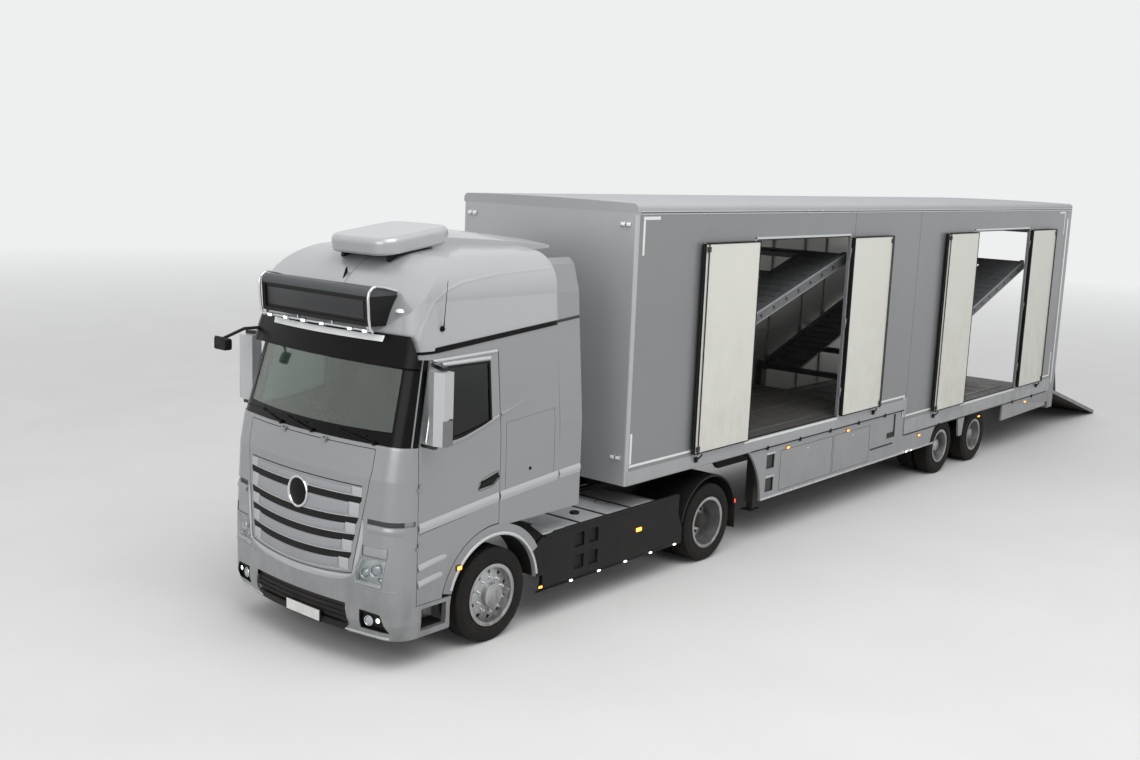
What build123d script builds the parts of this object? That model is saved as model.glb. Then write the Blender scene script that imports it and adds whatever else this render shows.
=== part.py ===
from build123d import *
import os
from math import asin, cos, degrees, radians, sin, sqrt

# An enclosed car transporter: a two-axle high-roof tractor and a double-deck semi-trailer.
# Millimetres. X runs rearward from the nose of the tractor, Y to the vehicle's right
# and Z up from the ground. The near side, with the open doors, is -Y.
# At the end all of it moves forward, so that the origin lies below the middle.

# Tractor wheels
front_axle_x = 1410
wheelbase = 3700
tyre_radius = 470
tyre_width = 295
rim_radius = 298
twin_gap = 40
wheel_inset = 20
king_pin_radius = 22
king_eye_radius = 36
spindle_radius = 45
king_pin_inset = 135
drive_axle_x = front_axle_x + wheelbase

# Trailer wheels
trailer_tyre_radius = 440
trailer_tyre_width = 262
trailer_rim_radius = 250
trailer_twin_gap = 38
trailer_wheel_inset = 44
trailer_axle_at = 8230
trailer_axle_spacing = 1310

# Gaps
running_gap = 0.05
seat_gap = 0.3
panel_gap = 6
flap_gap = 7

# Cab
cab_half_width = 1250
cab_rear_x = 2300
cab_wall = 60
cab_floor_z = 1430
cab_floor_thickness = 40
nose_sag = 105
corner_length = 260
corner_width = 230
seam_front_x = 430
seam_front_z = 2915
seam_slope = 0.085
roof_base_half = cab_half_width - 71
roof_shoulder_half = cab_half_width - 110
roof_crown_half = cab_half_width - 430
roof_crown_z = 3815
glass_thickness = 8
glass_depth = 10
arch_clearance = 130
flare_width = 112
mudguard_thickness = 22
drive_guard_clearance = 90
mudflap_bottom_z = 300
skirt_inner_y = cab_half_width - 55
skirt_thickness = 40
walkway_joint = 22
extension_length = 340
cab_levels = [
    # z, nose x, half width
    (300, 50, cab_half_width - 18),
    (450, 4, cab_half_width),
    (1000, 0, cab_half_width),
    (1780, 45, cab_half_width),
    (2060, 95, cab_half_width - 4),
    (3200, 415, cab_half_width - 97),
]

# Roof of the cab: a cooling pod on feet, and the deflector behind it
pod_x = 1130
pod_length = 930
pod_width = 880
pod_height = 165
pod_bottom_z = 3768
pod_tilt = 8
deflector_table = [
    # x, half width, bottom z, shoulder z, crown z
    (1300, 400, 3640, 3880, 3950),
    (1950, 570, 3700, 3850, 3915),
    (2660, 700, 3765, 3790, 3838),
]

# Doors, flap and lamps of the cab
door_rear_x = 1440
door_bottom_z = 620
door_front_x = 390
door_hinge_in = 8
door_hinge_out = 10
door_hinge_heights = (1140, 1690)
door_knuckle_radius = 9
door_bevel = 13
door_arch_gap = 14
door_handle = [(1150, 1570), (1185, 1645), (1415, 1705), (1435, 1650), (1360, 1588)]
handle_depth = 24
locker_outline = [(1520, 1490), (1520, 2165), (2225, 2225), (2225, 1550)]
seam_width = 5
flap_table = [
    # z, half width
    (890, 740),
    (1700, 880),
    (1860, 905),
    (2045, 905),
]
flap_bottom_z = 890
flap_top_z = 2045
flap_dip = 55
slot_margin = 42
slot_height = 40
slot_table = [
    # z at its ends, dip in the middle
    (1555, 12),
    (1362, 38),
    (1200, 42),
    (1030, 48),
]
flap_hinge_out = 8
flap_hinge_z = flap_top_z + 4
flap_hinge_y = 300
flap_knuckle_radius = 12
lamp_outline = [(-1118, 1060), (-1075, 800), (-775, 800), (-765, 905), (-850, 1060)]
lamp_depth = 85
lamp_blank_z = (1074, 1172)
corner_groove_z = (1372, 1420)
fog_outline = [(-830, 565), (-1062, 552), (-1135, 382), (-830, 382)]
fog_depth = 42
intake_top_z = 585
intake_bottom_z = 378
intake_top_half = 650
intake_bottom_half = 700
bumper_rear_x = door_front_x - panel_gap
step_front_x = 440
step_rear_x = 824

# Tractor chassis
rail_half_width = 415
rail_thickness = 70
rail_plate = 12
rail_bottom_z = tyre_radius + 230
rail_top_z = rail_bottom_z + 270
chassis_front_x = 250
front_beam_x = 150
tow_bore_y = 330
tow_bore_z = 512
chassis_rear_x = drive_axle_x + 760
tank_front_x = cab_rear_x + 120
skirt_rear_x = drive_axle_x - tyre_radius - 80
tank_rear_x = skirt_rear_x - 540
skirt_top_z = rail_top_z - 40
skirt_bottom_z = 340
coupling_z = rail_top_z + 195
fifth_wheel_lead = 600
kingpin_radius = 25.4
tow_bore_radius = 19
tow_bore_length = 80

# Trailer body
trailer_length = 13000
trailer_half_width = 1275
trailer_wall = 40
kingpin_setback = 1125
neck_bottom_z = coupling_z + 50
front_floor_z = coupling_z + 210
rear_floor_z = 2 * trailer_tyre_radius + 180
tail_floor_z = 850
floor_thickness = 40
floor_step_start = 6000
floor_step_end = 7200
floor_tail_start = 11100
frame_low_z = 640
frame_neck_low_z = 760
sill_rise = 8
front_edge_radius = 36
wall_step_x = 6760
wall_rear_bottom_z = 827
wall_tail_start = 10620
wall_tail_bottom_z = 620
wall_top_z = 4140
roof_top_z = 4255
roof_edge_z = 4240
roof_edge_radius = 60
roof_thickness = 35
rear_post_length = 250
rear_post_bottom_z = 500
rear_post_width = 135

# Side doors of the trailer: where each opening begins and ends, and its sill
opening_top_z = 3820
opening_table = [
    # front x, rear x, sill z
    (2340, 4660, front_floor_z + sill_rise),
    (8750, 11030, rear_floor_z + sill_rise),
]
leaf_thickness = 40
leaf_gap = 12
leaf_hinge_out = 12
leaf_knuckle_radius = 10
leaf_hinge_count = 3
hinge_pin_radius = 5
knuckle_height = 60

# Decks and ramp
deck_half_width = 1120
deck_depth = 150
deck_beam_width = 60
deck_plate = 30
deck_track_width = 620
deck_pin_radius = 25
deck_table = [
    # name, pivot x, pivot z, rise in degrees, length
    ("front_upper_deck", 350, 2120, 17.1, 4750),
    ("rear_upper_deck", 6650, 1600, 18.8, 4950),
]
ramp_hinge_z = 830
ramp_hinge_out = 32
ramp_length = 2820
ramp_thickness = 70
ramp_half_width = 1200
ramp_ear_y = 900
ramp_ear_width = 60
ramp_ear_radius = 27
ramp_pin_radius = 15
lug_y = 1090

twin_pitch = tyre_width + twin_gap
front_wheel_y = cab_half_width - wheel_inset - tyre_width / 2
drive_wheel_y = front_wheel_y
king_pin_y = front_wheel_y - king_pin_inset
trailer_twin_pitch = trailer_tyre_width + trailer_twin_gap
trailer_wheel_y = trailer_half_width - trailer_wheel_inset - trailer_tyre_width / 2
arch_radius = tyre_radius + arch_clearance
flare_radius = arch_radius + flare_width
extension_rear_x = cab_rear_x + extension_length
drive_guard_radius = tyre_radius + drive_guard_clearance
guard_inner_y = drive_wheel_y - twin_pitch - tyre_width / 2 - 40
trailer_front_x = drive_axle_x - fifth_wheel_lead - kingpin_setback
kingpin_x = drive_axle_x - fifth_wheel_lead
trailer_rear_x = trailer_front_x + trailer_length
ramp_hinge_x = trailer_rear_x + ramp_hinge_out
ramp_reach = sqrt(ramp_length ** 2 + ramp_thickness ** 2)
ramp_angle = degrees(asin(ramp_hinge_z / ramp_reach) - asin(ramp_thickness / ramp_reach))
overall_length = ramp_hinge_x + ramp_length * cos(radians(ramp_angle))


def between(table, place):
    """A table's second value at a place along its first, on the line between two rows."""
    for low, high in zip(table, table[1:]):
        if place <= high[0]:
            break
    share = (place - low[0]) / (high[0] - low[0])
    return low[1] + share * (high[1] - low[1])


flap_hinge_x = between(cab_levels, flap_top_z) - flap_hinge_out
nodes = {}


def block(x_span, y_span, z_span):
    """A box between two values on each axis."""
    spans = (x_span, y_span, z_span)
    middle = [(low + high) / 2 for low, high in spans]
    size = [high - low for low, high in spans]
    return Pos(*middle) * Box(*size)


def rectangle(x_span, y_span):
    """The four corners of a rectangle."""
    return [(x_span[0], y_span[0]), (x_span[1], y_span[0]), (x_span[1], y_span[1]), (x_span[0], y_span[1])]


def face_of(plane, points):
    return plane * make_face(Polyline(*points, close=True))


def prism_y(points, y_span):
    """An outline in X and Z, carried along Y."""
    return extrude(face_of(Plane.XZ.offset(-y_span[1]), points), amount=y_span[1] - y_span[0])


def prism_x(points, x_span):
    """An outline in Y and Z, carried along X."""
    return extrude(face_of(Plane.YZ.offset(x_span[0]), points), amount=x_span[1] - x_span[0])


def prism_z(points, z_span):
    """An outline in X and Y, carried along Z."""
    return extrude(face_of(Plane.XY.offset(z_span[0]), points), amount=z_span[1] - z_span[0])


def rod_y(x, z, radius, y_span):
    """A round bar that lies across the vehicle."""
    middle = (y_span[0] + y_span[1]) / 2
    return Pos(x, middle, z) * Rot(90, 0, 0) * Cylinder(radius, y_span[1] - y_span[0])


def ring_y(x, z, inner, outer, y_span):
    return rod_y(x, z, outer, y_span) - rod_y(x, z, inner, (y_span[0] - 5, y_span[1] + 5))


def other_side(shape):
    return mirror(shape, about=Plane.XZ)


def gathered(*shapes):
    """Like pieces that share a node."""
    return Compound(children=[solid for shape in shapes for solid in shape.solids()])


def both_sides(shape):
    return gathered(shape, other_side(shape))


def upright_hinge(x, y, low, height, radius, fixed_web, moving_web):
    """The two halves of a hinge on an upright axis: a lug with its pin, and the barrel above it.

    Each web is an outline in X and Y that joins the knuckle to its panel.
    """
    lug = Pos(x, y, low + height / 2) * Cylinder(radius, height)
    lug += prism_z(fixed_web, (low, low + height))
    lug += Pos(x, y, low + height) * Cylinder(hinge_pin_radius, 2 * height)
    barrel_low = low + height + 1
    barrel = Pos(x, y, barrel_low + height / 2) * Cylinder(radius, height)
    barrel += prism_z(moving_web, (barrel_low, barrel_low + height))
    barrel -= Pos(x, y, barrel_low + height / 2) * Cylinder(hinge_pin_radius + running_gap, height + 10)
    return lug, barrel


# Wheels

def tyre(radius, width, bead):
    half = width / 2
    profile = [
        (-half + 30, bead),
        (-half, (bead + radius) / 2 - 10),
        (-half + 8, radius - 50),
        (-half + 34, radius),
        (half - 34, radius),
        (half - 8, radius - 50),
        (half, (bead + radius) / 2 - 10),
        (half - 30, bead),
    ]
    return revolve(face_of(Plane.YZ, profile), axis=Axis.Y)


def rim(radius, width, disc_y, hub_span, hub_radius, outward):
    """One rim: barrel, conical disc with hand holes, and hub. Outward is -1 on the near side."""
    hole_count = 10
    hole_radius = 21
    seat = radius - seat_gap
    barrel = radius - 26
    lip_radius = radius + 12
    lip_in = width / 2 - 24
    lip_out = width / 2 - 12
    barrel_outline = [
        (-lip_in, seat), (-lip_in, lip_radius), (-lip_out, lip_radius), (-lip_out, barrel),
        (lip_out, barrel), (lip_out, lip_radius), (lip_in, lip_radius), (lip_in, seat),
    ]
    shape = revolve(face_of(Plane.YZ, barrel_outline), axis=Axis.Y)
    cone_depth = 40 * outward
    disc = [
        (disc_y, barrel + 8),
        (disc_y + 14 * outward, barrel + 8),
        (disc_y + cone_depth + 14 * outward, hub_radius - 8),
        (disc_y + cone_depth, hub_radius - 8),
    ]
    shape += revolve(face_of(Plane.YZ, disc), axis=Axis.Y)
    hole_ring = barrel - 2 * hole_radius
    for turn in range(hole_count):
        hole = rod_y(0, hole_ring, hole_radius, (-width / 2, width / 2))
        shape -= Rot(0, turn * 360 / hole_count, 0) * hole
    shape += rod_y(0, 0, hub_radius, hub_span)
    return shape


def single_wheel(outward):
    """The steered wheel, on its spindle."""
    rubber = tyre(tyre_radius, tyre_width, rim_radius)
    hub_out = tyre_width / 2 + 10
    hub_span = sorted((outward * 5, outward * hub_out))
    metal = rim(rim_radius, tyre_width, 60 * outward, hub_span, 120, outward)
    spindle_span = sorted((-outward * 10, outward * (hub_out - 40)))
    metal -= rod_y(0, 0, spindle_radius + running_gap, spindle_span)
    return rubber, metal


def twin_wheel(radius, width, rim_size, pitch, outward):
    """Two tyres and two rims, bolted back to back on one hub."""
    inner = Pos(0, -outward * pitch, 0)
    rubber = gathered(tyre(radius, width, rim_size), inner * tyre(radius, width, rim_size))
    disc_y = -outward * (pitch / 2 - 62)
    metal = rim(rim_size, width, disc_y, sorted((-outward * pitch / 2, -outward * 20)), 125, -outward)
    twin = rim(rim_size, width, -disc_y, sorted((outward * 20, outward * pitch / 2)), 125, outward)
    metal += inner * twin
    metal += rod_y(0, 0, 92, sorted((-outward * 30, outward * 55)))
    bore_span = sorted((-outward * (pitch + 20), outward * 25))
    metal -= rod_y(0, 0, spindle_radius + running_gap, bore_span)
    return rubber, metal


def add_wheels():
    for side, outward in (("left", -1), ("right", 1)):
        rubber, metal = single_wheel(outward)
        spot = Pos(front_axle_x, outward * front_wheel_y, tyre_radius)
        nodes[f"front_tyre_{side}"] = spot * rubber
        nodes[f"front_rim_{side}"] = spot * metal
        rubber, metal = twin_wheel(tyre_radius, tyre_width, rim_radius, twin_pitch, outward)
        spot = Pos(drive_axle_x, outward * drive_wheel_y, tyre_radius)
        nodes[f"drive_tyres_{side}"] = spot * rubber
        nodes[f"drive_rims_{side}"] = spot * metal
        for number in (1, 2):
            rubber, metal = twin_wheel(
                trailer_tyre_radius, trailer_tyre_width, trailer_rim_radius, trailer_twin_pitch, outward
            )
            x = trailer_front_x + trailer_axle_at + (number - 1) * trailer_axle_spacing
            spot = Pos(x, outward * trailer_wheel_y, trailer_tyre_radius)
            nodes[f"trailer_tyres_{number}_{side}"] = spot * rubber
            nodes[f"trailer_rims_{number}_{side}"] = spot * metal


# Axles, knuckles and chassis of the tractor

def knuckle(outward):
    """A stub axle with two ears round the king pin."""
    y = outward * king_pin_y
    spindle_end = outward * (front_wheel_y + tyre_width / 2 - 35)
    shape = rod_y(front_axle_x, tyre_radius, spindle_radius, sorted((y + outward * 45, spindle_end)))
    shape += rod_y(front_axle_x, tyre_radius, 85, sorted((y + outward * 48, y + outward * 74)))
    fork_y = sorted((y - outward * 45, y + outward * 50))
    shape += block((front_axle_x - 50, front_axle_x + 50), fork_y, (tyre_radius - 130, tyre_radius + 130))
    throat_y = sorted((y - outward * 50, y + outward * (king_eye_radius + 6)))
    shape -= block((front_axle_x - 60, front_axle_x + 60), throat_y, (tyre_radius - 66, tyre_radius + 66))
    pin_hole = Pos(front_axle_x, y, tyre_radius) * Cylinder(king_pin_radius + running_gap, 400)
    return shape - pin_hole


def front_axle():
    """A dropped forged beam with an eye and a king pin at each end."""
    drop = 110
    beam_end = king_pin_y - king_eye_radius / 2
    profile = [
        (-beam_end, tyre_radius - 60),
        (-beam_end, tyre_radius + 60),
        (-700, tyre_radius + 60),
        (-520, tyre_radius + 60 - drop),
        (520, tyre_radius + 60 - drop),
        (700, tyre_radius + 60),
        (beam_end, tyre_radius + 60),
        (beam_end, tyre_radius - 60),
        (700, tyre_radius - 60),
        (520, tyre_radius - 60 - drop),
        (-520, tyre_radius - 60 - drop),
        (-700, tyre_radius - 60),
    ]
    shape = prism_x(profile, (front_axle_x - 45, front_axle_x + 45))
    for side in (-1, 1):
        eye = Pos(front_axle_x, side * king_pin_y, tyre_radius)
        shape += eye * Cylinder(king_eye_radius, 120)
        shape += eye * Cylinder(king_pin_radius, 290)
        spring = side * (rail_half_width - rail_thickness / 2)
        shape += block((front_axle_x - 45, front_axle_x + 45), (spring - 40, spring + 40),
                       (tyre_radius + 60 - drop - 1, rail_bottom_z))
    return shape


def drive_axle():
    """A banjo housing with the spindles that carry the twin wheels."""
    inner_face = drive_wheel_y - twin_pitch - tyre_width / 2
    reach = drive_wheel_y + 20
    shape = rod_y(drive_axle_x, tyre_radius, 75, (-inner_face + 30, inner_face - 30))
    shape += rod_y(drive_axle_x, tyre_radius, spindle_radius, (-reach, reach))
    shape += Pos(drive_axle_x, 0, tyre_radius) * Sphere(190)
    for side in (-1, 1):
        spring = side * (rail_half_width - rail_thickness / 2)
        shape += block((drive_axle_x - 60, drive_axle_x + 60), (spring - 40, spring + 40),
                       (tyre_radius, rail_bottom_z))
    return shape


def chassis_frame():
    rail_y = (rail_half_width - rail_thickness, rail_half_width)
    rail = prism_y([
        (chassis_front_x, rail_bottom_z),
        (chassis_front_x, rail_top_z),
        (chassis_rear_x, rail_top_z),
        (chassis_rear_x, rail_bottom_z + 60),
        (chassis_rear_x - 300, rail_bottom_z),
    ], rail_y)
    rail -= block((chassis_front_x - 10, chassis_rear_x + 10),
                  (rail_half_width - rail_thickness - 1, rail_half_width - rail_plate),
                  (rail_bottom_z + rail_plate, rail_top_z - rail_plate))
    shape = rail + other_side(rail)
    inside = (-rail_half_width + rail_plate / 2, rail_half_width - rail_plate / 2)
    for x in (cab_rear_x - 50, 3100, 3900, drive_axle_x - 550, drive_axle_x + 190, chassis_rear_x - 60):
        shape += block((x, x + 60), inside, (rail_bottom_z + 60, rail_top_z - 60))
    shape += block((front_beam_x, chassis_front_x + 1), (-rail_half_width, rail_half_width), (440, 760))
    for side in (-1, 1):
        rail_side = sorted((side * (rail_half_width - rail_thickness), side * rail_half_width))
        shape += block((chassis_front_x, chassis_front_x + 250), rail_side, (560, 720))
        bore = Pos(front_beam_x + tow_bore_length / 2, side * tow_bore_y, tow_bore_z) * Rot(0, 90, 0)
        shape -= bore * Cylinder(tow_bore_radius, tow_bore_length)
        for mount_x in ((620, 760), (cab_rear_x - cab_wall - 120, cab_rear_x - cab_wall - 10)):
            shape += block(mount_x, rail_side, (rail_top_z, cab_floor_z - cab_floor_thickness))
    return shape


# Cab

def cab_outline(z, nose, half, inset):
    """A level of the cab: a bowed front, two round corners and straight sides."""
    rear = cab_rear_x - inset
    front = nose + inset
    side = half - inset
    corner_x = front + nose_sag
    side_x = corner_x + corner_length
    corner_y = side - corner_width
    bend = cos(radians(45))
    arc_x = side_x - corner_length * bend
    arc_y = corner_y + corner_width * bend
    edges = [
        Line((rear, -side), (side_x, -side)),
        ThreePointArc((side_x, -side), (arc_x, -arc_y), (corner_x, -corner_y)),
        ThreePointArc((corner_x, -corner_y), (front, 0), (corner_x, corner_y)),
        ThreePointArc((corner_x, corner_y), (arc_x, arc_y), (side_x, side)),
        Line((side_x, side), (rear, side)),
        Line((rear, side), (rear, -side)),
    ]
    return Pos(0, 0, z) * make_face(edges)


def cab_volume(inset):
    return loft([cab_outline(z, nose, half, inset) for z, nose, half in cab_levels], ruled=True)


def below_seam(drop):
    """Everything of the cab under the sloping seam between cab and roof."""
    rear_z = seam_front_z + (4000 - seam_front_x) * seam_slope
    front_z = seam_front_z - (seam_front_x + 500) * seam_slope
    return prism_y([(-500, 0), (4000, 0), (4000, rear_z - drop), (-500, front_z - drop)], (-1500, 1500))


def door_region(grow, arch_gap):
    """The outline of a cab door, in X and Z."""
    outline = [
        (door_front_x - grow, door_bottom_z - grow),
        (door_front_x - grow, 2050),
        (575 - grow, 2840 + grow),
        (door_rear_x + grow, 2870 + grow),
        (door_rear_x + grow, door_bottom_z - grow),
    ]
    region = prism_y(outline, (-1400, -cab_half_width + 200))
    return region - rod_y(front_axle_x, tyre_radius, flare_radius + arch_gap, (-1500, -900))


def window_region(grow):
    outline = [
        (470 - grow, 2080 - grow),
        (640 - grow, 2780 + grow),
        (1330 + grow, 2780 + grow),
        (1330 + grow, 2190 - grow),
        (900, 2100 - grow),
    ]
    return prism_y(outline, (-1500, -900))


def screen_region(grow):
    outline = [
        (-100, 2085 - grow),
        (330 + grow, 2085 - grow),
        (520 + grow, 2850 + grow),
        (-100, 2850 + grow),
    ]
    return prism_y(outline, (-1400, 1400))


def bowed_region(low, high, low_dip, high_dip, middle=()):
    """A region of the cab's front whose lower and upper edges sag in the middle.

    low and high are the half width and height of their ends, and middle is more such points between them.
    """
    edges = [ThreePointArc((-low[0], low[1]), (0, low[1] - low_dip), (low[0], low[1]))]
    flank = [low, *middle, high]
    for start, end in zip(flank, flank[1:]):
        edges.append(Line(start, end))
        edges.append(Line((-start[0], start[1]), (-end[0], end[1])))
    if high_dip:
        edges.append(ThreePointArc((-high[0], high[1]), (0, high[1] - high_dip), (high[0], high[1])))
    else:
        edges.append(Line((-high[0], high[1]), (high[0], high[1])))
    return extrude(Plane.YZ.offset(-100) * make_face(edges), amount=400)


def flap_region(grow):
    """The front flap: narrow below, wide under the windscreen."""
    rows = [(half + grow, z) for z, half in flap_table]
    low = (rows[0][0], flap_bottom_z - grow)
    high = (rows[-1][0], flap_top_z + grow)
    return bowed_region(low, high, flap_dip, 0, rows[1:-1])


def slot_region(z, dip):
    """One of the gaps between the slats of the front flap."""
    low = (between(flap_table, z) - slot_margin, z)
    high = (between(flap_table, z + slot_height) - slot_margin, z + slot_height)
    return bowed_region(low, high, dip, dip)


def lamp_region():
    return prism_x(lamp_outline, (0, bumper_rear_x))


def cab_pocket(region, depth):
    """What a region takes out of the cab's skin, down to a depth."""
    return region - cab_volume(depth)


def seam_ring(outline, width):
    """A closed seam along an outline on the near side of the cab."""
    face = Plane.XZ.offset(cab_half_width - 100) * make_face(Polyline(*outline, close=True))
    return extrude(offset(face, width / 2), amount=150) - extrude(offset(face, -width / 2), amount=150)


def bumper_region():
    """Bumper and entry steps, as an outline in X and Z."""
    outline = [
        (-100, 0),
        (step_rear_x, 0),
        (step_rear_x, door_bottom_z - panel_gap),
        (bumper_rear_x, door_bottom_z - panel_gap),
        (bumper_rear_x, flap_bottom_z - panel_gap),
        (-100, flap_bottom_z - panel_gap),
    ]
    return prism_y(outline, (-1500, 1500))


def roof_volume(inset):
    """The high roof: a domed side outline crossed with a rounded front outline."""
    base = 2880
    rear = cab_rear_x - inset
    side_edges = [
        Line((300 + inset, base), (360 + inset, 2960)),
        ThreePointArc((360 + inset, 2960), (560 + inset * 0.8, 3440 - inset * 0.5), (1000, 3730 - inset)),
        ThreePointArc((1000, 3730 - inset), (1600, 3800 - inset), (rear, roof_crown_z - inset)),
        Line((rear, roof_crown_z - inset), (rear, base)),
        Line((rear, base), (300 + inset, base)),
    ]
    side = extrude(Plane.XZ.offset(-1400) * make_face(side_edges), amount=2800)
    low = roof_base_half - inset
    high = roof_shoulder_half - inset
    bend = roof_shoulder_half - 80 - inset * 0.8
    crown = roof_crown_half
    front_edges = [
        Line((-low, base), (-high, 3360)),
        ThreePointArc((-high, 3360), (-bend, 3630 - inset * 0.6), (-crown, 3760 - inset)),
        ThreePointArc((-crown, 3760 - inset), (0, roof_crown_z + 15 - inset), (crown, 3760 - inset)),
        ThreePointArc((crown, 3760 - inset), (bend, 3630 - inset * 0.6), (high, 3360)),
        Line((high, 3360), (low, base)),
        Line((low, base), (-low, base)),
    ]
    front = extrude(Plane.YZ * make_face(front_edges), amount=3000)
    plan_face = cab_outline(base, 325, roof_base_half + 6, inset)
    plan = extrude(plan_face, amount=1200)
    return side & front & plan


def roof_pod():
    """The cooling unit on the roof: a shallow box with round corners on four feet, nose down."""
    shell = extrude(RectangleRounded(pod_length, pod_width, 190), amount=pod_height)
    top_edges = shell.faces().sort_by(Axis.Z)[-1].edges()
    shell = fillet(top_edges, 60)
    bottom_edges = shell.faces().sort_by(Axis.Z)[0].edges()
    shell = fillet(bottom_edges, 25)
    for x in (-pod_length / 2 + 190, pod_length / 2 - 190):
        for y in (-pod_width / 2 + 110, pod_width / 2 - 110):
            shell += block((x - 45, x + 45), (y - 22, y + 22), (-150, 10))
    return Pos(pod_x, 0, pod_bottom_z) * Rot(0, -pod_tilt, 0) * shell


def roof_deflector():
    """The fairing that spreads from the pod to the rear edge of the roof and past it."""
    sections = []
    for x, half, bottom, shoulder, crown in deflector_table:
        edges = [
            Line((-half, bottom), (half, bottom)),
            Line((half, bottom), (half, shoulder)),
            ThreePointArc((half, shoulder), (0, crown), (-half, shoulder)),
            Line((-half, shoulder), (-half, bottom)),
        ]
        sections.append(Plane.YZ.offset(x) * make_face(edges))
    return loft(sections, ruled=True)


def cab_door_hinges():
    """The hinges of the near-side door, low and high on its front edge."""
    x = door_front_x + door_hinge_in
    y = -cab_half_width - door_hinge_out
    skin = -cab_half_width
    pillar_x = door_front_x - panel_gap
    fixed_web = [(pillar_x - 16, y - 2), (x, y - 2), (x, skin - 0.6), (pillar_x, skin - 0.6),
                 (pillar_x, skin + 4), (pillar_x - 16, skin + 4)]
    moving_web = rectangle((x, x + 26), (y - 2, skin + 4))
    return [upright_hinge(x, y, z, knuckle_height / 2, door_knuckle_radius, fixed_web, moving_web)
            for z in door_hinge_heights]


def flap_hinges():
    """Ears with their pins above the front flap, and the knuckles that it hangs by."""
    ears = []
    knuckles = []
    for side in (-1, 1):
        y = side * flap_hinge_y
        for step in (-1, 1):
            span = (y + step * 22 - 6, y + step * 22 + 6)
            ear = rod_y(flap_hinge_x, flap_hinge_z, flap_knuckle_radius, span)
            ear += block((flap_hinge_x, flap_hinge_x + 45), span, (flap_hinge_z + 5, flap_hinge_z + 26))
            ears.append(ear)
        ears.append(rod_y(flap_hinge_x, flap_hinge_z, hinge_pin_radius, (y - 22, y + 22)))
        knuckle = rod_y(flap_hinge_x, flap_hinge_z, flap_knuckle_radius, (y - 15, y + 15))
        knuckle += block((flap_hinge_x, flap_hinge_x + 45), (y - 15, y + 15),
                         (flap_hinge_z - 28, flap_hinge_z - 7))
        knuckle -= rod_y(flap_hinge_x, flap_hinge_z, hinge_pin_radius + running_gap, (y - 30, y + 30))
        knuckles.append(knuckle)
    return ears, knuckles


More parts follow.
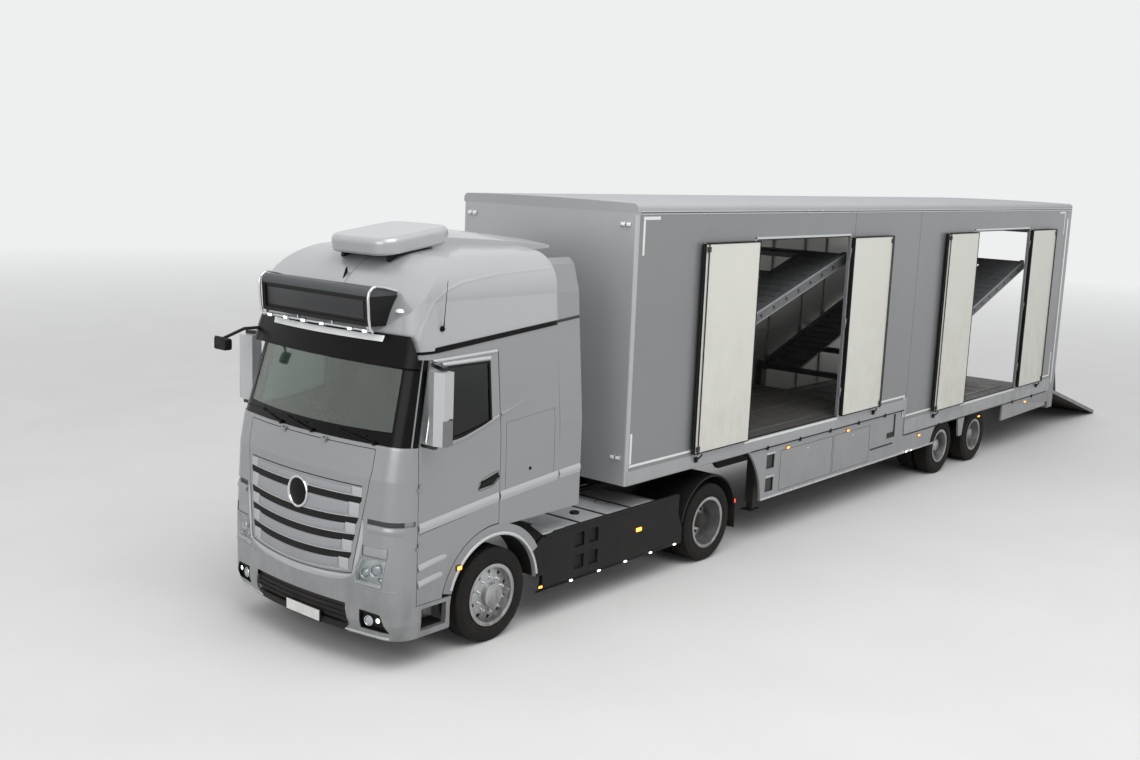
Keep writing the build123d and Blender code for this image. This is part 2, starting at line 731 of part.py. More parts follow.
def add_cab():
    outer = cab_volume(0)
    skin = (outer - cab_volume(cab_wall)) & below_seam(0)
    back_half = cab_half_width - 100
    skin += block((cab_rear_x - cab_wall, cab_rear_x), (-back_half, back_half), (1180, 2900)) & below_seam(0)
    arches = rod_y(front_axle_x, tyre_radius, flare_radius, (-1500, 1500))
    lower_rear = block((1400, 2400), (-1400, 1400), (0, 1160))
    cut_low = block((-200, 2400), (-1400, 1400), (0, door_bottom_z - panel_gap))

    lamps = (outer - cab_volume(lamp_depth)) & lamp_region()
    nodes["headlamps"] = both_sides(lamps)

    near_half = block((-500, 3000), (-1500, 0), (0, 4500))
    bumper = (outer - cab_volume(cab_wall)) & bumper_region() & near_half
    bumper -= lamp_region()
    bumper -= flap_region(flap_gap)
    bumper -= prism_x([(-intake_bottom_half, intake_bottom_z), (-intake_top_half, intake_top_z),
                       (0, intake_top_z), (0, intake_bottom_z)], (-100, 400))
    bumper -= cab_pocket(prism_x(fog_outline, (-100, bumper_rear_x - 15)), fog_depth)
    bumper += block((90, 130), (-intake_bottom_half - 10, 0), (intake_bottom_z - 10, intake_top_z + 10))
    bumper -= rod_y(front_axle_x, tyre_radius, arch_radius, (-1500, 1500))
    step_x = (step_front_x, step_rear_x)
    step_top = door_bottom_z - panel_gap
    bumper += block(step_x, (-1200, -960), (330, 352))
    bumper += block(step_x, (-1200, -960), (step_top - 24, step_top))
    bumper += block(step_x, (-985, -960), (330, step_top))
    bumper -= block((step_front_x + 10, step_rear_x - 60), (-1300, -1100), (360, step_top - 39))
    bumper += block((cab_wall - 10, front_beam_x), (-260, -180), (600, 720))
    bumper -= Pos(110, -tow_bore_y, tow_bore_z) * Rot(0, 90, 0) * Cylinder(45, 120)
    bumper += other_side(bumper)
    nodes["front_bumper"] = bumper

    flap = skin & flap_region(0)
    for z, dip in slot_table:
        flap -= slot_region(z, dip)
    ears, knuckles = flap_hinges()
    for knuckle in knuckles:
        flap += knuckle
    nodes["front_flap"] = flap

    window_cut = window_region(0)
    door = (skin & door_region(0, door_arch_gap)) - window_cut
    door -= prism_z([(door_rear_x, -cab_half_width), (door_rear_x + 20, -cab_half_width),
                     (door_rear_x + 20, -1100), (door_rear_x - door_bevel, -1100)], (600, 2950))
    door -= cab_pocket(prism_y(door_handle, (-1400, -1100)), handle_depth)
    hinges = cab_door_hinges()
    for lug, barrel in hinges:
        door += barrel
    glass = (cab_volume(glass_depth) - cab_volume(glass_depth + glass_thickness)) & window_cut
    nodes["cab_door_left"] = door
    nodes["cab_door_right"] = other_side(door)
    nodes["door_glass_left"] = glass
    nodes["door_glass_right"] = other_side(glass)

    screen = (cab_volume(glass_depth) - cab_volume(glass_depth + glass_thickness)) & screen_region(0)
    nodes["windscreen"] = screen

    floor = block((260, cab_rear_x), (-1300, 1300), (cab_floor_z - cab_floor_thickness, cab_floor_z))
    shell = skin + (floor & cab_volume(cab_wall / 2))
    door_way = door_region(panel_gap, 0)
    shell -= door_way
    shell -= other_side(door_way)
    shell -= screen_region(0)
    shell -= flap_region(flap_gap)
    shell -= bumper_region()
    shell -= lamp_region()
    shell -= other_side(lamp_region())
    shell -= arches
    shell -= cut_low
    shell -= lower_rear
    recess_y = (-cab_half_width - 50, -flap_table[1][1] - 2 * panel_gap)
    details = cab_pocket(block((-100, bumper_rear_x - 22), recess_y, corner_groove_z), 20)
    details += cab_pocket(block((-100, 262), (-1125, -850), lamp_blank_z), 12)
    details += cab_pocket(seam_ring(locker_outline, seam_width), seam_width)
    shell -= details
    shell -= other_side(details)
    for ear in ears:
        shell += ear
    for lug, barrel in hinges:
        shell += lug
        shell += other_side(lug)
    nodes["cab_shell"] = shell

    roof = roof_volume(0) - roof_volume(cab_wall)
    roof -= below_seam(0)
    roof += roof_deflector() - roof_volume(cab_wall / 2)
    roof += roof_pod() - roof_volume(cab_wall / 2)
    nodes["cab_roof"] = roof


def side_extensions():
    thickness = 35
    side = -cab_half_width
    base = -roof_base_half
    shoulder = -roof_shoulder_half
    outer = [(side, 1160), (side, 2060), (base, 2880), (shoulder, 3360), (shoulder + 78, 3630)]
    top = [(shoulder + 140, 3690), (shoulder + 190, 3690)]
    inner = [(y + thickness, z - 5) for y, z in reversed(outer[1:])]
    outline = outer + top + inner + [(side + thickness, 1160)]
    panel = prism_x(outline, (cab_rear_x, extension_rear_x))
    return both_sides(panel)


def add_cab_outside():
    visor_outer = cab_volume(-75)
    visor = (visor_outer - cab_volume(-48)) & block((-200, 420), (-1400, 1400), (2790, 3060))
    visor += (visor_outer - cab_volume(0)) & block((-200, 420), (-1400, 1400), (3030, 3060))
    visor -= roof_volume(-seat_gap)
    nodes["sun_visor"] = visor
    box_edges = [
        Line((205, 3130), (188, 3392)),
        ThreePointArc((188, 3392), (206, 3452), (264, 3474)),
        Line((264, 3474), (520, 3444)),
        Line((520, 3444), (520, 3130)),
        Line((520, 3130), (205, 3130)),
    ]
    light_box = extrude(Plane.XZ.offset(-780) * make_face(box_edges), amount=1560)
    light_box -= prism_y([(100, 3166), (100, 3384), (201, 3384), (215, 3166)], (-735, 735))
    light_box -= roof_volume(-seat_gap)
    nodes["light_box"] = light_box
    nodes["side_extensions"] = side_extensions()


def add_mirrors():
    """A two-armed mirror on each cab door."""
    housing = prism_z([(440, -1500), (560, -1490), (560, -1300), (450, -1300), (405, -1400)], (2130, 2790))
    upper = prism_z([(470, -1440), (530, -1440), (640, -1175), (585, -1175)], (2790, 2830))
    lower = block((415, 465), (-1400, -1230), (2095, 2130))
    shape = housing + upper + lower
    shape -= cab_volume(-seat_gap)
    shape = max(shape.solids(), key=lambda solid: solid.volume)
    nodes["mirror_left"] = shape
    nodes["mirror_right"] = other_side(shape)


def add_cab_inside():
    wheel_tilt = 38
    wheel_centre = (790, 560, 2080)
    profile = [(420, 1640), (420, 1990), (560, 2060), (700, 2020), (720, 1850), (600, 1640)]
    dash_side = cab_half_width - 105
    dash = prism_y(profile, (-dash_side, dash_side)) & cab_volume(cab_wall + 1)
    dash += block((430, 560), (-1000, 1000), (cab_floor_z, 1700))
    column = Pos(*wheel_centre) * Rot(0, wheel_tilt, 0)
    dash += column * Pos(0, 0, -140) * Cylinder(24, 230)
    dash += column * Pos(0, 0, -20) * Cylinder(12, 60)
    nodes["dashboard"] = dash
    seat_profile = [(960, 1700), (960, 1850), (1330, 1850), (1400, 2450), (1520, 2450), (1500, 1700)]
    seats = []
    for y in (-560, 560):
        seat = prism_y(seat_profile, (y - 260, y + 260))
        seat += block((1000, 1350), (y - 180, y + 180), (cab_floor_z, 1700))
        seats.append(seat)
    bunk = block((1620, cab_rear_x - cab_wall - 0.3), (-1150, 1150), (cab_floor_z, 1980))
    nodes["seats_and_bunk"] = gathered(*seats, bunk)
    ring = Torus(215, 16)
    ring += Cylinder(45, 40)
    for angle in (90, 210, 330):
        ring += Rot(0, 0, angle) * Pos(110, 0, 0) * Box(212, 30, 12)
    ring -= Pos(0, 0, -12) * Cylinder(12 + running_gap, 45)
    nodes["steering_wheel"] = Pos(*wheel_centre) * Rot(0, wheel_tilt, 0) * ring


def add_tractor_underside():
    engine = block((780, 1950), (-330, 330), (tyre_radius + 90, 1330))
    rail_inside = (-rail_half_width + rail_plate, rail_half_width - rail_plate)
    for x in (900, 1750):
        engine += block((x, x + 100), rail_inside, (rail_bottom_z + 100, rail_bottom_z + 160))
    nodes["engine_block"] = engine
    nodes["side_tanks"] = both_sides(side_tank())
    nodes["side_skirts"] = both_sides(side_skirt())
    axles = gathered(front_axle(), drive_axle())
    nodes["tractor_axles"] = axles


def side_tank():
    """A tank with round edges on the chassis rail, two straps, and the walkway plates above it."""
    tank_y = (480, skirt_inner_y - 15)
    low, high = 430, rail_top_z - 70
    tank = block((tank_front_x, tank_rear_x), tank_y, (low, high))
    tank = fillet(tank.edges().filter_by(Axis.X), 60)
    for x in (tank_front_x + 140, tank_rear_x - 220):
        strap = block((x, x + 70), (tank_y[0] - 4, tank_y[1] + 4), (low - 4, high + 4))
        tank += fillet(strap.edges().filter_by(Axis.X), 62)
        tank += block((x, x + 80), (rail_half_width, tank_y[0] + 40), (high - 180, high - 70))
    count = 4
    pitch = (tank_rear_x + 40 - cab_rear_x) / count
    for number in range(count):
        x = cab_rear_x + number * pitch
        plate_end = x + pitch - walkway_joint
        plate_y = (rail_half_width + 20, skirt_inner_y + 15)
        tank += block((x, plate_end), plate_y, (skirt_top_z + 1, skirt_top_z + 9))
        for bar_x in (x + 60, plate_end - 60):
            tank += block((bar_x, bar_x + 40), (tank_y[0] + 80, tank_y[1] - 80), (high - 1, skirt_top_z + 1))
    return tank


def side_skirt():
    """The panel between the wheels: its front follows the wheel arch, with two rows of vents."""
    outline = [
        (front_axle_x + arch_radius, skirt_bottom_z),
        (front_axle_x + arch_radius, skirt_top_z - 85),
        (cab_rear_x - 190, skirt_top_z - 20),
        (cab_rear_x - 30, skirt_top_z),
        (skirt_rear_x - 80, skirt_top_z),
        (skirt_rear_x - 80, tyre_radius + 230),
        (skirt_rear_x, tyre_radius + 50),
        (skirt_rear_x, skirt_bottom_z),
    ]
    skirt_outer_y = skirt_inner_y + skirt_thickness
    skirt = prism_y(outline, (skirt_inner_y, skirt_outer_y))
    skirt -= rod_y(front_axle_x, tyre_radius, flare_radius + panel_gap, (1000, 1500))
    for x in (cab_rear_x + 330, cab_rear_x + 560):
        for z in (skirt_bottom_z + 110, skirt_bottom_z + 350):
            skirt -= block((x, x + 150), (skirt_outer_y - 22, skirt_outer_y + 10), (z, z + 150))
    for x in (tank_front_x + 80, tank_rear_x - 120):
        skirt += block((x, x + 60), (skirt_inner_y - 15, skirt_inner_y), (600, 840))
    return skirt


def arch_cover(x, inner, thickness, y_span, low_angle, high_angle, z):
    """A bent mudguard round a wheel, between two angles from the rear horizontal."""
    ring = ring_y(x, z, inner, inner + thickness, y_span)
    reach = inner + 400
    wedge = [(x, z)]
    for step in range(5):
        angle = radians(low_angle + (high_angle - low_angle) * step / 4)
        wedge.append((x + reach * 1.4 * cos(angle), z + reach * 1.4 * sin(angle)))
    return ring & prism_y(wedge, (y_span[0] - 5, y_span[1] + 5))


def mudguards():
    side = -cab_half_width
    guard_y = (side + 10, side + 320)
    front = arch_cover(front_axle_x, arch_radius, mudguard_thickness, guard_y, 5, 165, tyre_radius)
    lip = flare_width - seat_gap
    front += arch_cover(front_axle_x, arch_radius, lip, (side, side + 45), 5, 165, tyre_radius)
    low_angle = 12
    guard_y = (side + 10, -guard_inner_y)
    inner = drive_guard_radius
    rear = arch_cover(drive_axle_x, inner, mudguard_thickness, guard_y, low_angle, 168, tyre_radius)
    stay_x = (drive_axle_x - 20, drive_axle_x + 20)
    stay_z = rail_top_z - 30
    rear += block(stay_x, (-guard_inner_y - 16, -rail_half_width), (stay_z, stay_z + 25))
    rear += block(stay_x, (-guard_inner_y - 16, -guard_inner_y), (stay_z, tyre_radius + inner + 10))
    flap_x = drive_axle_x + inner * cos(radians(low_angle)) + mudguard_thickness / 2
    flap_top = tyre_radius + inner * sin(radians(low_angle)) + 20
    rear += block((flap_x - 4, flap_x + 4), guard_y, (mudflap_bottom_z, flap_top))
    return gathered(front, other_side(front), rear, other_side(rear))


def fifth_wheel():
    """A saddle plate with a throat that guides the kingpin into its jaw."""
    half_outline = [(-420, 300), (-250, 460), (60, 460), (420, 330), (420, 150), (60, 30)]
    outline = [(kingpin_x + x, y) for x, y in half_outline]
    outline += [(kingpin_x + x, -y) for x, y in reversed(half_outline)]
    shape = prism_z(outline, (coupling_z - 60, coupling_z - seat_gap))
    shape -= Pos(kingpin_x, 0, coupling_z - 30) * Cylinder(kingpin_radius + running_gap, 100)
    for side in (-1, 1):
        shape += block((kingpin_x - 120, kingpin_x + 120), sorted((side * 345, side * 415)),
                       (rail_top_z, coupling_z - 60))
    return shape


# Trailer

def t(x):
    """A place along the trailer, counted from its front face."""
    return trailer_front_x + x


def wall_bottom(x):
    """Height of the wall's lower edge towards the tail."""
    tail_end = trailer_length - rear_post_length
    share = max(0, x - wall_tail_start) / (tail_end - wall_tail_start)
    return wall_rear_bottom_z + share * (wall_tail_bottom_z - wall_rear_bottom_z)


def wall_outline():
    return [
        (t(0) + trailer_wall, neck_bottom_z),
        (t(0) + trailer_wall, wall_top_z),
        (trailer_rear_x - rear_post_length, wall_top_z),
        (trailer_rear_x - rear_post_length, wall_tail_bottom_z),
        (t(wall_tail_start), wall_rear_bottom_z),
        (t(wall_step_x), wall_rear_bottom_z),
        (t(wall_step_x), neck_bottom_z),
    ]


def side_hinges():
    """Where each leaf hangs, the way that it folds back, its sill and its width."""
    places = []
    for front, rear, sill in opening_table:
        width = (rear - front) / 2 - leaf_gap
        places.append((t(front), -1, sill, width))
        places.append((t(rear), 1, sill, width))
    return places


def near_wall_panels(wall):
    """The near-side wall as its panels, with a sill and a lintel at each opening, and the hinge lugs."""
    edges = [0, wall_step_x, trailer_length]
    for front, rear, sill in opening_table:
        edges += [front, rear]
    edges.sort()
    panels = []
    for low, high in zip(edges, edges[1:]):
        panel = wall & block((t(low), t(high)), (-1400, -1200), (0, 5000))
        inside = [sill for front, rear, sill in opening_table if front < (low + high) / 2 < rear]
        for sill in inside:
            panels.append(panel & block((t(low), t(high)), (-1400, -1200), (0, sill)))
            panel &= block((t(low), t(high)), (-1400, -1200), (opening_top_z, 5000))
        for hinge_x, away, sill, width in side_hinges():
            if not inside and t(low) < hinge_x + away * leaf_knuckle_radius < t(high):
                for lug, barrel in leaf_hinges(hinge_x, sill, away):
                    panel += lug
        panels.append(panel)
    return panels


def add_trailer_walls():
    inner = trailer_half_width - trailer_wall
    right = prism_y(wall_outline(), (inner, trailer_half_width))
    nodes["trailer_wall_left"] = gathered(*near_wall_panels(other_side(right)))
    nodes["trailer_wall_right"] = right
    front = block((t(0), t(0) + trailer_wall), (-trailer_half_width, trailer_half_width),
                  (neck_bottom_z, wall_top_z))
    upright = front.edges().filter_by(Axis.Z).sort_by(Axis.X)[:2]
    nodes["trailer_front_wall"] = fillet(upright, front_edge_radius)


def trailer_roof():
    w = trailer_half_width
    r = roof_edge_radius
    bend = r * (1 - cos(radians(45)))
    edges = [
        Line((-w, wall_top_z), (-w, roof_edge_z - r)),
        ThreePointArc((-w, roof_edge_z - r), (-w + bend, roof_edge_z - bend), (-w + r, roof_edge_z)),
        ThreePointArc((-w + r, roof_edge_z), (0, roof_top_z), (w - r, roof_edge_z)),
        ThreePointArc((w - r, roof_edge_z), (w - bend, roof_edge_z - bend), (w, roof_edge_z - r)),
        Line((w, roof_edge_z - r), (w, wall_top_z)),
        Line((w, wall_top_z), (-w, wall_top_z)),
    ]
    cap = extrude(Plane.YZ.offset(t(0)) * make_face(edges), amount=trailer_length)
    inner = w - trailer_wall
    hollow = block((t(0) + trailer_wall, trailer_rear_x - trailer_wall), (-inner, inner),
                   (wall_top_z - 10, roof_edge_z - roof_thickness - 10))
    return cap - hollow


def trailer_floor():
    profile = [
        (trailer_wall, front_floor_z),
        (floor_step_start, front_floor_z),
        (floor_step_end, rear_floor_z),
        (floor_tail_start, rear_floor_z),
        (trailer_length - 60, tail_floor_z),
    ]
    outline = [(t(x), z) for x, z in profile]
    lower = [(x, z - floor_thickness) for x, z in reversed(outline)]
    inner = trailer_half_width - trailer_wall
    shape = prism_y(outline + lower, (-inner, inner))
    for side in (-1, 1):
        post_y = sorted((side * (trailer_half_width - rear_post_width), side * 1400))
        shape -= block((trailer_rear_x - rear_post_length - 1, trailer_rear_x), post_y, (0, 2000))
    for name, pivot_x, pivot_z, rise, length in deck_table:
        floor_z = between(profile, pivot_x) - floor_thickness / 4
        for side in (-1, 1):
            post_y = sorted((side * (deck_half_width + 10), side * inner))
            post = block((t(pivot_x) - 50, t(pivot_x) + 50), post_y, (floor_z - 10, pivot_z + 50))
            shape += post - rod_y(t(pivot_x), pivot_z, deck_pin_radius + running_gap, (-1300, 1300))
    return shape


def trailer_frame():
    beam = [
        (t(60), coupling_z),
        (t(60), front_floor_z - floor_thickness),
        (t(floor_step_start), front_floor_z - floor_thickness),
        (t(floor_step_end), rear_floor_z - floor_thickness),
        (t(floor_tail_start), rear_floor_z - floor_thickness),
        (trailer_rear_x - 60, tail_floor_z - floor_thickness),
        (trailer_rear_x - 60, frame_low_z),
        (t(7500), frame_low_z),
        (t(6600), frame_neck_low_z),
        (t(3100), frame_neck_low_z),
        (t(2700), coupling_z),
    ]
    shape = None
    for side in (-1, 1):
        web = prism_y(beam, sorted((side * 380, side * 440)))
        shape = web if shape is None else shape + web
    shape += block((t(500), t(1900)), (-600, 600), (coupling_z, coupling_z + 14))
    shape += Pos(kingpin_x, 0, coupling_z - 38) * Cylinder(kingpin_radius, 80)
    inner = trailer_half_width - trailer_wall
    cross_table = [
        # x along the trailer, bottom z, top z
        (60, neck_bottom_z, front_floor_z - floor_thickness),
        (2200, neck_bottom_z, front_floor_z - floor_thickness),
        (3600, neck_bottom_z, front_floor_z - floor_thickness),
        (5000, neck_bottom_z, front_floor_z - floor_thickness),
        (5900, neck_bottom_z, front_floor_z - floor_thickness),
        (7400, rear_floor_z - 130, rear_floor_z - floor_thickness),
        (8800, rear_floor_z - 130, rear_floor_z - floor_thickness),
        (10300, rear_floor_z - 130, rear_floor_z - floor_thickness),
        (11000, rear_floor_z - 130, rear_floor_z - floor_thickness),
    ]
    for x, low, high in cross_table:
        shape += block((t(x), t(x) + 80), (-inner, inner), (low, high))
    tail_half = trailer_half_width - rear_post_width - 1
    shape += block((trailer_rear_x - 140, trailer_rear_x - 60), (-tail_half, tail_half),
                   (frame_low_z + 10, tail_floor_z - floor_thickness))
    return shape


def rear_frame():
    """The portal at the rear: two posts and a header, round the way in."""
    w = trailer_half_width
    x_span = (trailer_rear_x - rear_post_length, trailer_rear_x)
    post = block(x_span, (w - rear_post_width, w), (rear_post_bottom_z, wall_top_z))
    shape = post + other_side(post)
    shape += block((trailer_rear_x - 60, trailer_rear_x), (-w, w), (3680, wall_top_z))
    sill_top = ramp_hinge_z - 80
    shape += block((trailer_rear_x - 60, trailer_rear_x), (-w, w), (650, sill_top))
    for side in (-1, 1):
        y_span = (side * ramp_ear_y - ramp_ear_width / 2, side * ramp_ear_y + ramp_ear_width / 2)
        shape += rod_y(ramp_hinge_x, ramp_hinge_z, ramp_ear_radius, y_span)
        web = [(trailer_rear_x - 50, sill_top - 1), (trailer_rear_x - 50, sill_top + 20),
               (ramp_hinge_x - 18, ramp_hinge_z + 18), (ramp_hinge_x, ramp_hinge_z - ramp_ear_radius),
               (trailer_rear_x - 5, sill_top - 1)]
        shape += prism_y(web, y_span)
        bore_y = (y_span[0] - 5, y_span[1] + 5)
        shape -= rod_y(ramp_hinge_x, ramp_hinge_z, ramp_pin_radius + running_gap, bore_y)
    return shape


def trailer_skirts():
    y_span = (-trailer_half_width + 9, -trailer_half_width + 39)
    wheel_1 = t(trailer_axle_at)
    low = 538
    rest = [(t(2815), low), (t(7900), low), (t(7900), wall_rear_bottom_z),
            (t(wall_step_x), wall_rear_bottom_z), (t(wall_step_x), neck_bottom_z), (t(2480), neck_bottom_z)]
    edges = [Line(start, end) for start, end in zip(rest, rest[1:])]
    edges.append(ThreePointArc((t(2480), neck_bottom_z), (t(2700), 945), (t(2815), low)))
    front = extrude(Plane.XZ.offset(-y_span[1]) * make_face(edges), amount=y_span[1] - y_span[0])
    front -= rod_y(wheel_1, trailer_tyre_radius, trailer_tyre_radius + 60, (-1500, -1000))
    for z in (632, 932):
        front -= block((t(2915), t(3105)), (-trailer_half_width, -trailer_half_width + 27), (z, z + 192))
    middle_x = wheel_1 + trailer_axle_spacing / 2
    middle = prism_y([(middle_x - 130, wall_rear_bottom_z), (middle_x + 130, wall_rear_bottom_z),
                      (middle_x + 60, 520), (middle_x - 60, 520)], y_span)
    rear = prism_y([(t(10590), wall_bottom(10590)), (t(10590), 540), (t(12650), 560),
                    (t(12650), wall_bottom(12650)), (t(wall_tail_start), wall_rear_bottom_z)], y_span)
    return gathered(front, other_side(front), middle, other_side(middle), rear, other_side(rear))


def trailer_axles():
    shapes = []
    for number in (0, 1):
        x = t(trailer_axle_at) + number * trailer_axle_spacing
        inner_face = trailer_wheel_y - trailer_twin_pitch - trailer_tyre_width / 2
        shape = rod_y(x, trailer_tyre_radius, 65, (-inner_face + 20, inner_face - 20))
        reach = trailer_wheel_y + 20
        shape += rod_y(x, trailer_tyre_radius, spindle_radius, (-reach, reach))
        for side in (-1, 1):
            high = trailer_tyre_radius + 60
            low = trailer_tyre_radius - 60
            arm = prism_y([(x - 620, frame_low_z), (x - 480, frame_low_z), (x - 60, high), (x + 60, high),
                           (x + 60, low), (x - 120, low), (x - 620, frame_low_z - 120)],
                          sorted((side * 375, side * 445)))
            shape += arm
        shapes.append(shape)
    return gathered(*shapes)


def landing_legs():
    leg = block((t(3050), t(3170)), (900, 1020), (430, neck_bottom_z))
    leg += block((t(3065), t(3155)), (915, 1005), (330, 430))
    leg += block((t(3000), t(3220)), (880, 1040), (315, 330))
    leg += block((t(3070), t(3150)), (440, 905), (1000, 1080))
    return both_sides(leg)


def side_leaf(hinge_x, width, sill, away):
    """A leaf folded back against the wall. Away is -1 when it lies forward of its hinge."""
    gap = leaf_gap / 2
    x_span = sorted((hinge_x + away * gap, hinge_x + away * (gap + width)))
    out = trailer_half_width + 2 * leaf_hinge_out
    return block(x_span, (-out - leaf_thickness, -out), (sill + leaf_gap, opening_top_z - leaf_gap))


def leaf_hinges(hinge_x, sill, away):
    """Lugs on the wall's edge and barrels on the leaf, in pairs up its height."""
    y = -trailer_half_width - leaf_hinge_out
    out = trailer_half_width + 2 * leaf_hinge_out
    fixed_x = sorted((hinge_x, hinge_x + away * leaf_knuckle_radius))
    fixed_web = rectangle(fixed_x, (y, -trailer_half_width))
    moving_x = sorted((hinge_x + away * 2, hinge_x + away * (leaf_knuckle_radius + 6)))
    moving_web = rectangle(moving_x, (-out - 4, y))
    pairs = []
    for number in range(leaf_hinge_count):
        share = (number + 0.3) / (leaf_hinge_count - 0.4)
        low = sill + share * (opening_top_z - sill)
        pair = upright_hinge(hinge_x, y, low, knuckle_height, leaf_knuckle_radius, fixed_web, moving_web)
        pairs.append(pair)
    return pairs


def add_side_doors():
    for number, (hinge_x, away, sill, width) in enumerate(side_hinges(), 1):
        leaf = side_leaf(hinge_x, width, sill, away)
        for lug, barrel in leaf_hinges(hinge_x, sill, away):
            leaf += barrel
        nodes[f"side_door_{number}"] = leaf


def upper_deck(length):
    """Side beams, two wheel tracks and cross members, lying flat with the pivot at the origin."""
    beam_inner = deck_half_width - deck_beam_width
    beam = block((-60, length), (beam_inner, deck_half_width), (-deck_depth / 2, deck_depth / 2))
    shape = beam + other_side(beam)
    track = block((-60, length), (beam_inner - deck_track_width, beam_inner), (20, 20 + deck_plate))
    shape += track
    shape += other_side(track)
    count = 7
    for number in range(count):
        x = -60 + number * length / (count - 1)
        shape += block((x, x + 60), (-deck_half_width + 5, deck_half_width - 5), (-50, 20))
    shape += rod_y(0, 0, deck_pin_radius, (-deck_half_width - 90, -deck_half_width + 10))
    shape += rod_y(0, 0, deck_pin_radius, (deck_half_width - 10, deck_half_width + 90))
    return shape


def add_decks():
    for name, pivot_x, pivot_z, rise, length in deck_table:
        nodes[name] = Pos(t(pivot_x), 0, pivot_z) * Rot(0, -rise, 0) * upper_deck(length)


def rear_ramp():
    """A plate on two hinge pins, with a brace at each side, folded down onto the ground."""
    shape = block((0, ramp_length), (-ramp_half_width, ramp_half_width), (-ramp_thickness, 0))
    for side in (-1, 1):
        y = side * ramp_ear_y
        shape -= block((-1, 60), (y - ramp_ear_width, y + ramp_ear_width), (-ramp_thickness - 1, 1))
        shape += rod_y(0, 0, ramp_pin_radius, (y - ramp_ear_width - 10, y + ramp_ear_width + 10))
    lug = prism_y([(270, -1), (340, 440), (400, 440), (700, -1), (620, -1), (390, 330), (350, -1)],
                  (lug_y - 20, lug_y))
    shape += lug
    shape += other_side(lug)
    return Pos(ramp_hinge_x, 0, ramp_hinge_z) * Rot(0, ramp_angle, 0) * shape


add_wheels()
nodes["chassis_frame"] = chassis_frame()
nodes["knuckle_left"] = knuckle(-1)
nodes["knuckle_right"] = knuckle(1)
add_cab()
add_cab_outside()
add_mirrors()
add_cab_inside()
add_tractor_underside()
nodes["mudguards"] = mudguards()
nodes["fifth_wheel"] = fifth_wheel()
add_trailer_walls()
nodes["trailer_roof"] = trailer_roof()
nodes["trailer_floor"] = trailer_floor()
nodes["trailer_frame"] = trailer_frame()
nodes["rear_frame"] = rear_frame()
nodes["trailer_skirts"] = trailer_skirts()
nodes["trailer_axles"] = trailer_axles()
nodes["landing_legs"] = landing_legs()
add_side_doors()
add_decks()
nodes["rear_ramp"] = rear_ramp()

os.makedirs("parts", exist_ok=True)
centre = Pos(-overall_length / 2, 0, 0)
for name, shape in nodes.items():
    export_step(centre * shape, f"parts/{name}.step")
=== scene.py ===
from math import asin, atan2, cos, pi, radians, sin

import bmesh
import bpy
from mathutils import Matrix, Vector


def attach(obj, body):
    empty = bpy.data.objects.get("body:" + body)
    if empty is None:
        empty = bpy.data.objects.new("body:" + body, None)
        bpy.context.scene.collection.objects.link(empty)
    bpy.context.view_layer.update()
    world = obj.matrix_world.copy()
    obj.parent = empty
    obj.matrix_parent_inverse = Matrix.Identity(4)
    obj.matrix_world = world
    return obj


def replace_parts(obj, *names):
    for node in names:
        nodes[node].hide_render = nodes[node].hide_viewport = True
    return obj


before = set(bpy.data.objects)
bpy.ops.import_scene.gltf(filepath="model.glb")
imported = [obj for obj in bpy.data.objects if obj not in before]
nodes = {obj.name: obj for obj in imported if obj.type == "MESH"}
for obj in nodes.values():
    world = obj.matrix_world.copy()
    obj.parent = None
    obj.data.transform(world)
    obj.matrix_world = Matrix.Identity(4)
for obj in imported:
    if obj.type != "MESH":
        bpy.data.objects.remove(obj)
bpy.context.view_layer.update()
bpy.ops.object.select_all(action="DESELECT")

# Places of the vehicle, in metres, counted rearward from its nose
HALF_LENGTH = 9.56597
FRONT_AXLE = 1.41
DRIVE_AXLE = 5.11
TRAILER_FRONT = 3.385
TRAILER_AXLES = (11.615, 12.925)
TRAILER_LENGTH = 13.0
TYRE_RADIUS = 0.47
TYRE_WIDTH = 0.295
TRAILER_TYRE_RADIUS = 0.44
TRAILER_TYRE_WIDTH = 0.262
HALF_WIDTH = 1.25
TRAILER_HALF_WIDTH = 1.275
SIDES = (("left", -1), ("right", 1))
OUTWARD = (-1, 1)


def at(station):
    """A place counted from the nose, in the frame's own X."""
    return station - HALF_LENGTH


def along(place):
    """A place counted from the trailer's front face, in the frame's own X."""
    return at(TRAILER_FRONT + place)


# Colours and shader groups

def tint(red, green, blue):
    """A colour from its 0 to 255 values, as a shader wants it."""
    parts = []
    for value in (red, green, blue):
        share = value / 255
        parts.append(share / 12.92 if share <= 0.04045 else ((share + 0.055) / 1.055) ** 2.4)
    return (*parts, 1.0)


def feed(tree, inputs, feeds):
    """Gives inputs their links or their values."""
    for key, value in feeds.items():
        if isinstance(value, bpy.types.NodeSocket):
            tree.links.new(value, inputs[key])
        else:
            inputs[key].default_value = value


def add_node(tree, kind, feeds=None, **settings):
    """A shader node with its settings, and what its inputs get."""
    made = tree.nodes.new(kind)
    for key, value in settings.items():
        setattr(made, key, value)
    feed(tree, made.inputs, feeds or {})
    return made


def arithmetic(tree, operation, *values, clamp=False):
    feeds = dict(enumerate(values))
    return add_node(tree, "ShaderNodeMath", feeds, operation=operation, use_clamp=clamp).outputs[0]


def times(tree, first, second, clamp=False):
    return arithmetic(tree, "MULTIPLY", first, second, clamp=clamp)


def plus(tree, first, second, clamp=False):
    return arithmetic(tree, "ADD", first, second, clamp=clamp)


def blend_colours(tree, share, first, second):
    return add_node(tree, "ShaderNodeMix", {0: share, 6: first, 7: second}, data_type="RGBA").outputs[2]


def object_place(tree):
    return add_node(tree, "ShaderNodeTexCoord").outputs["Object"]


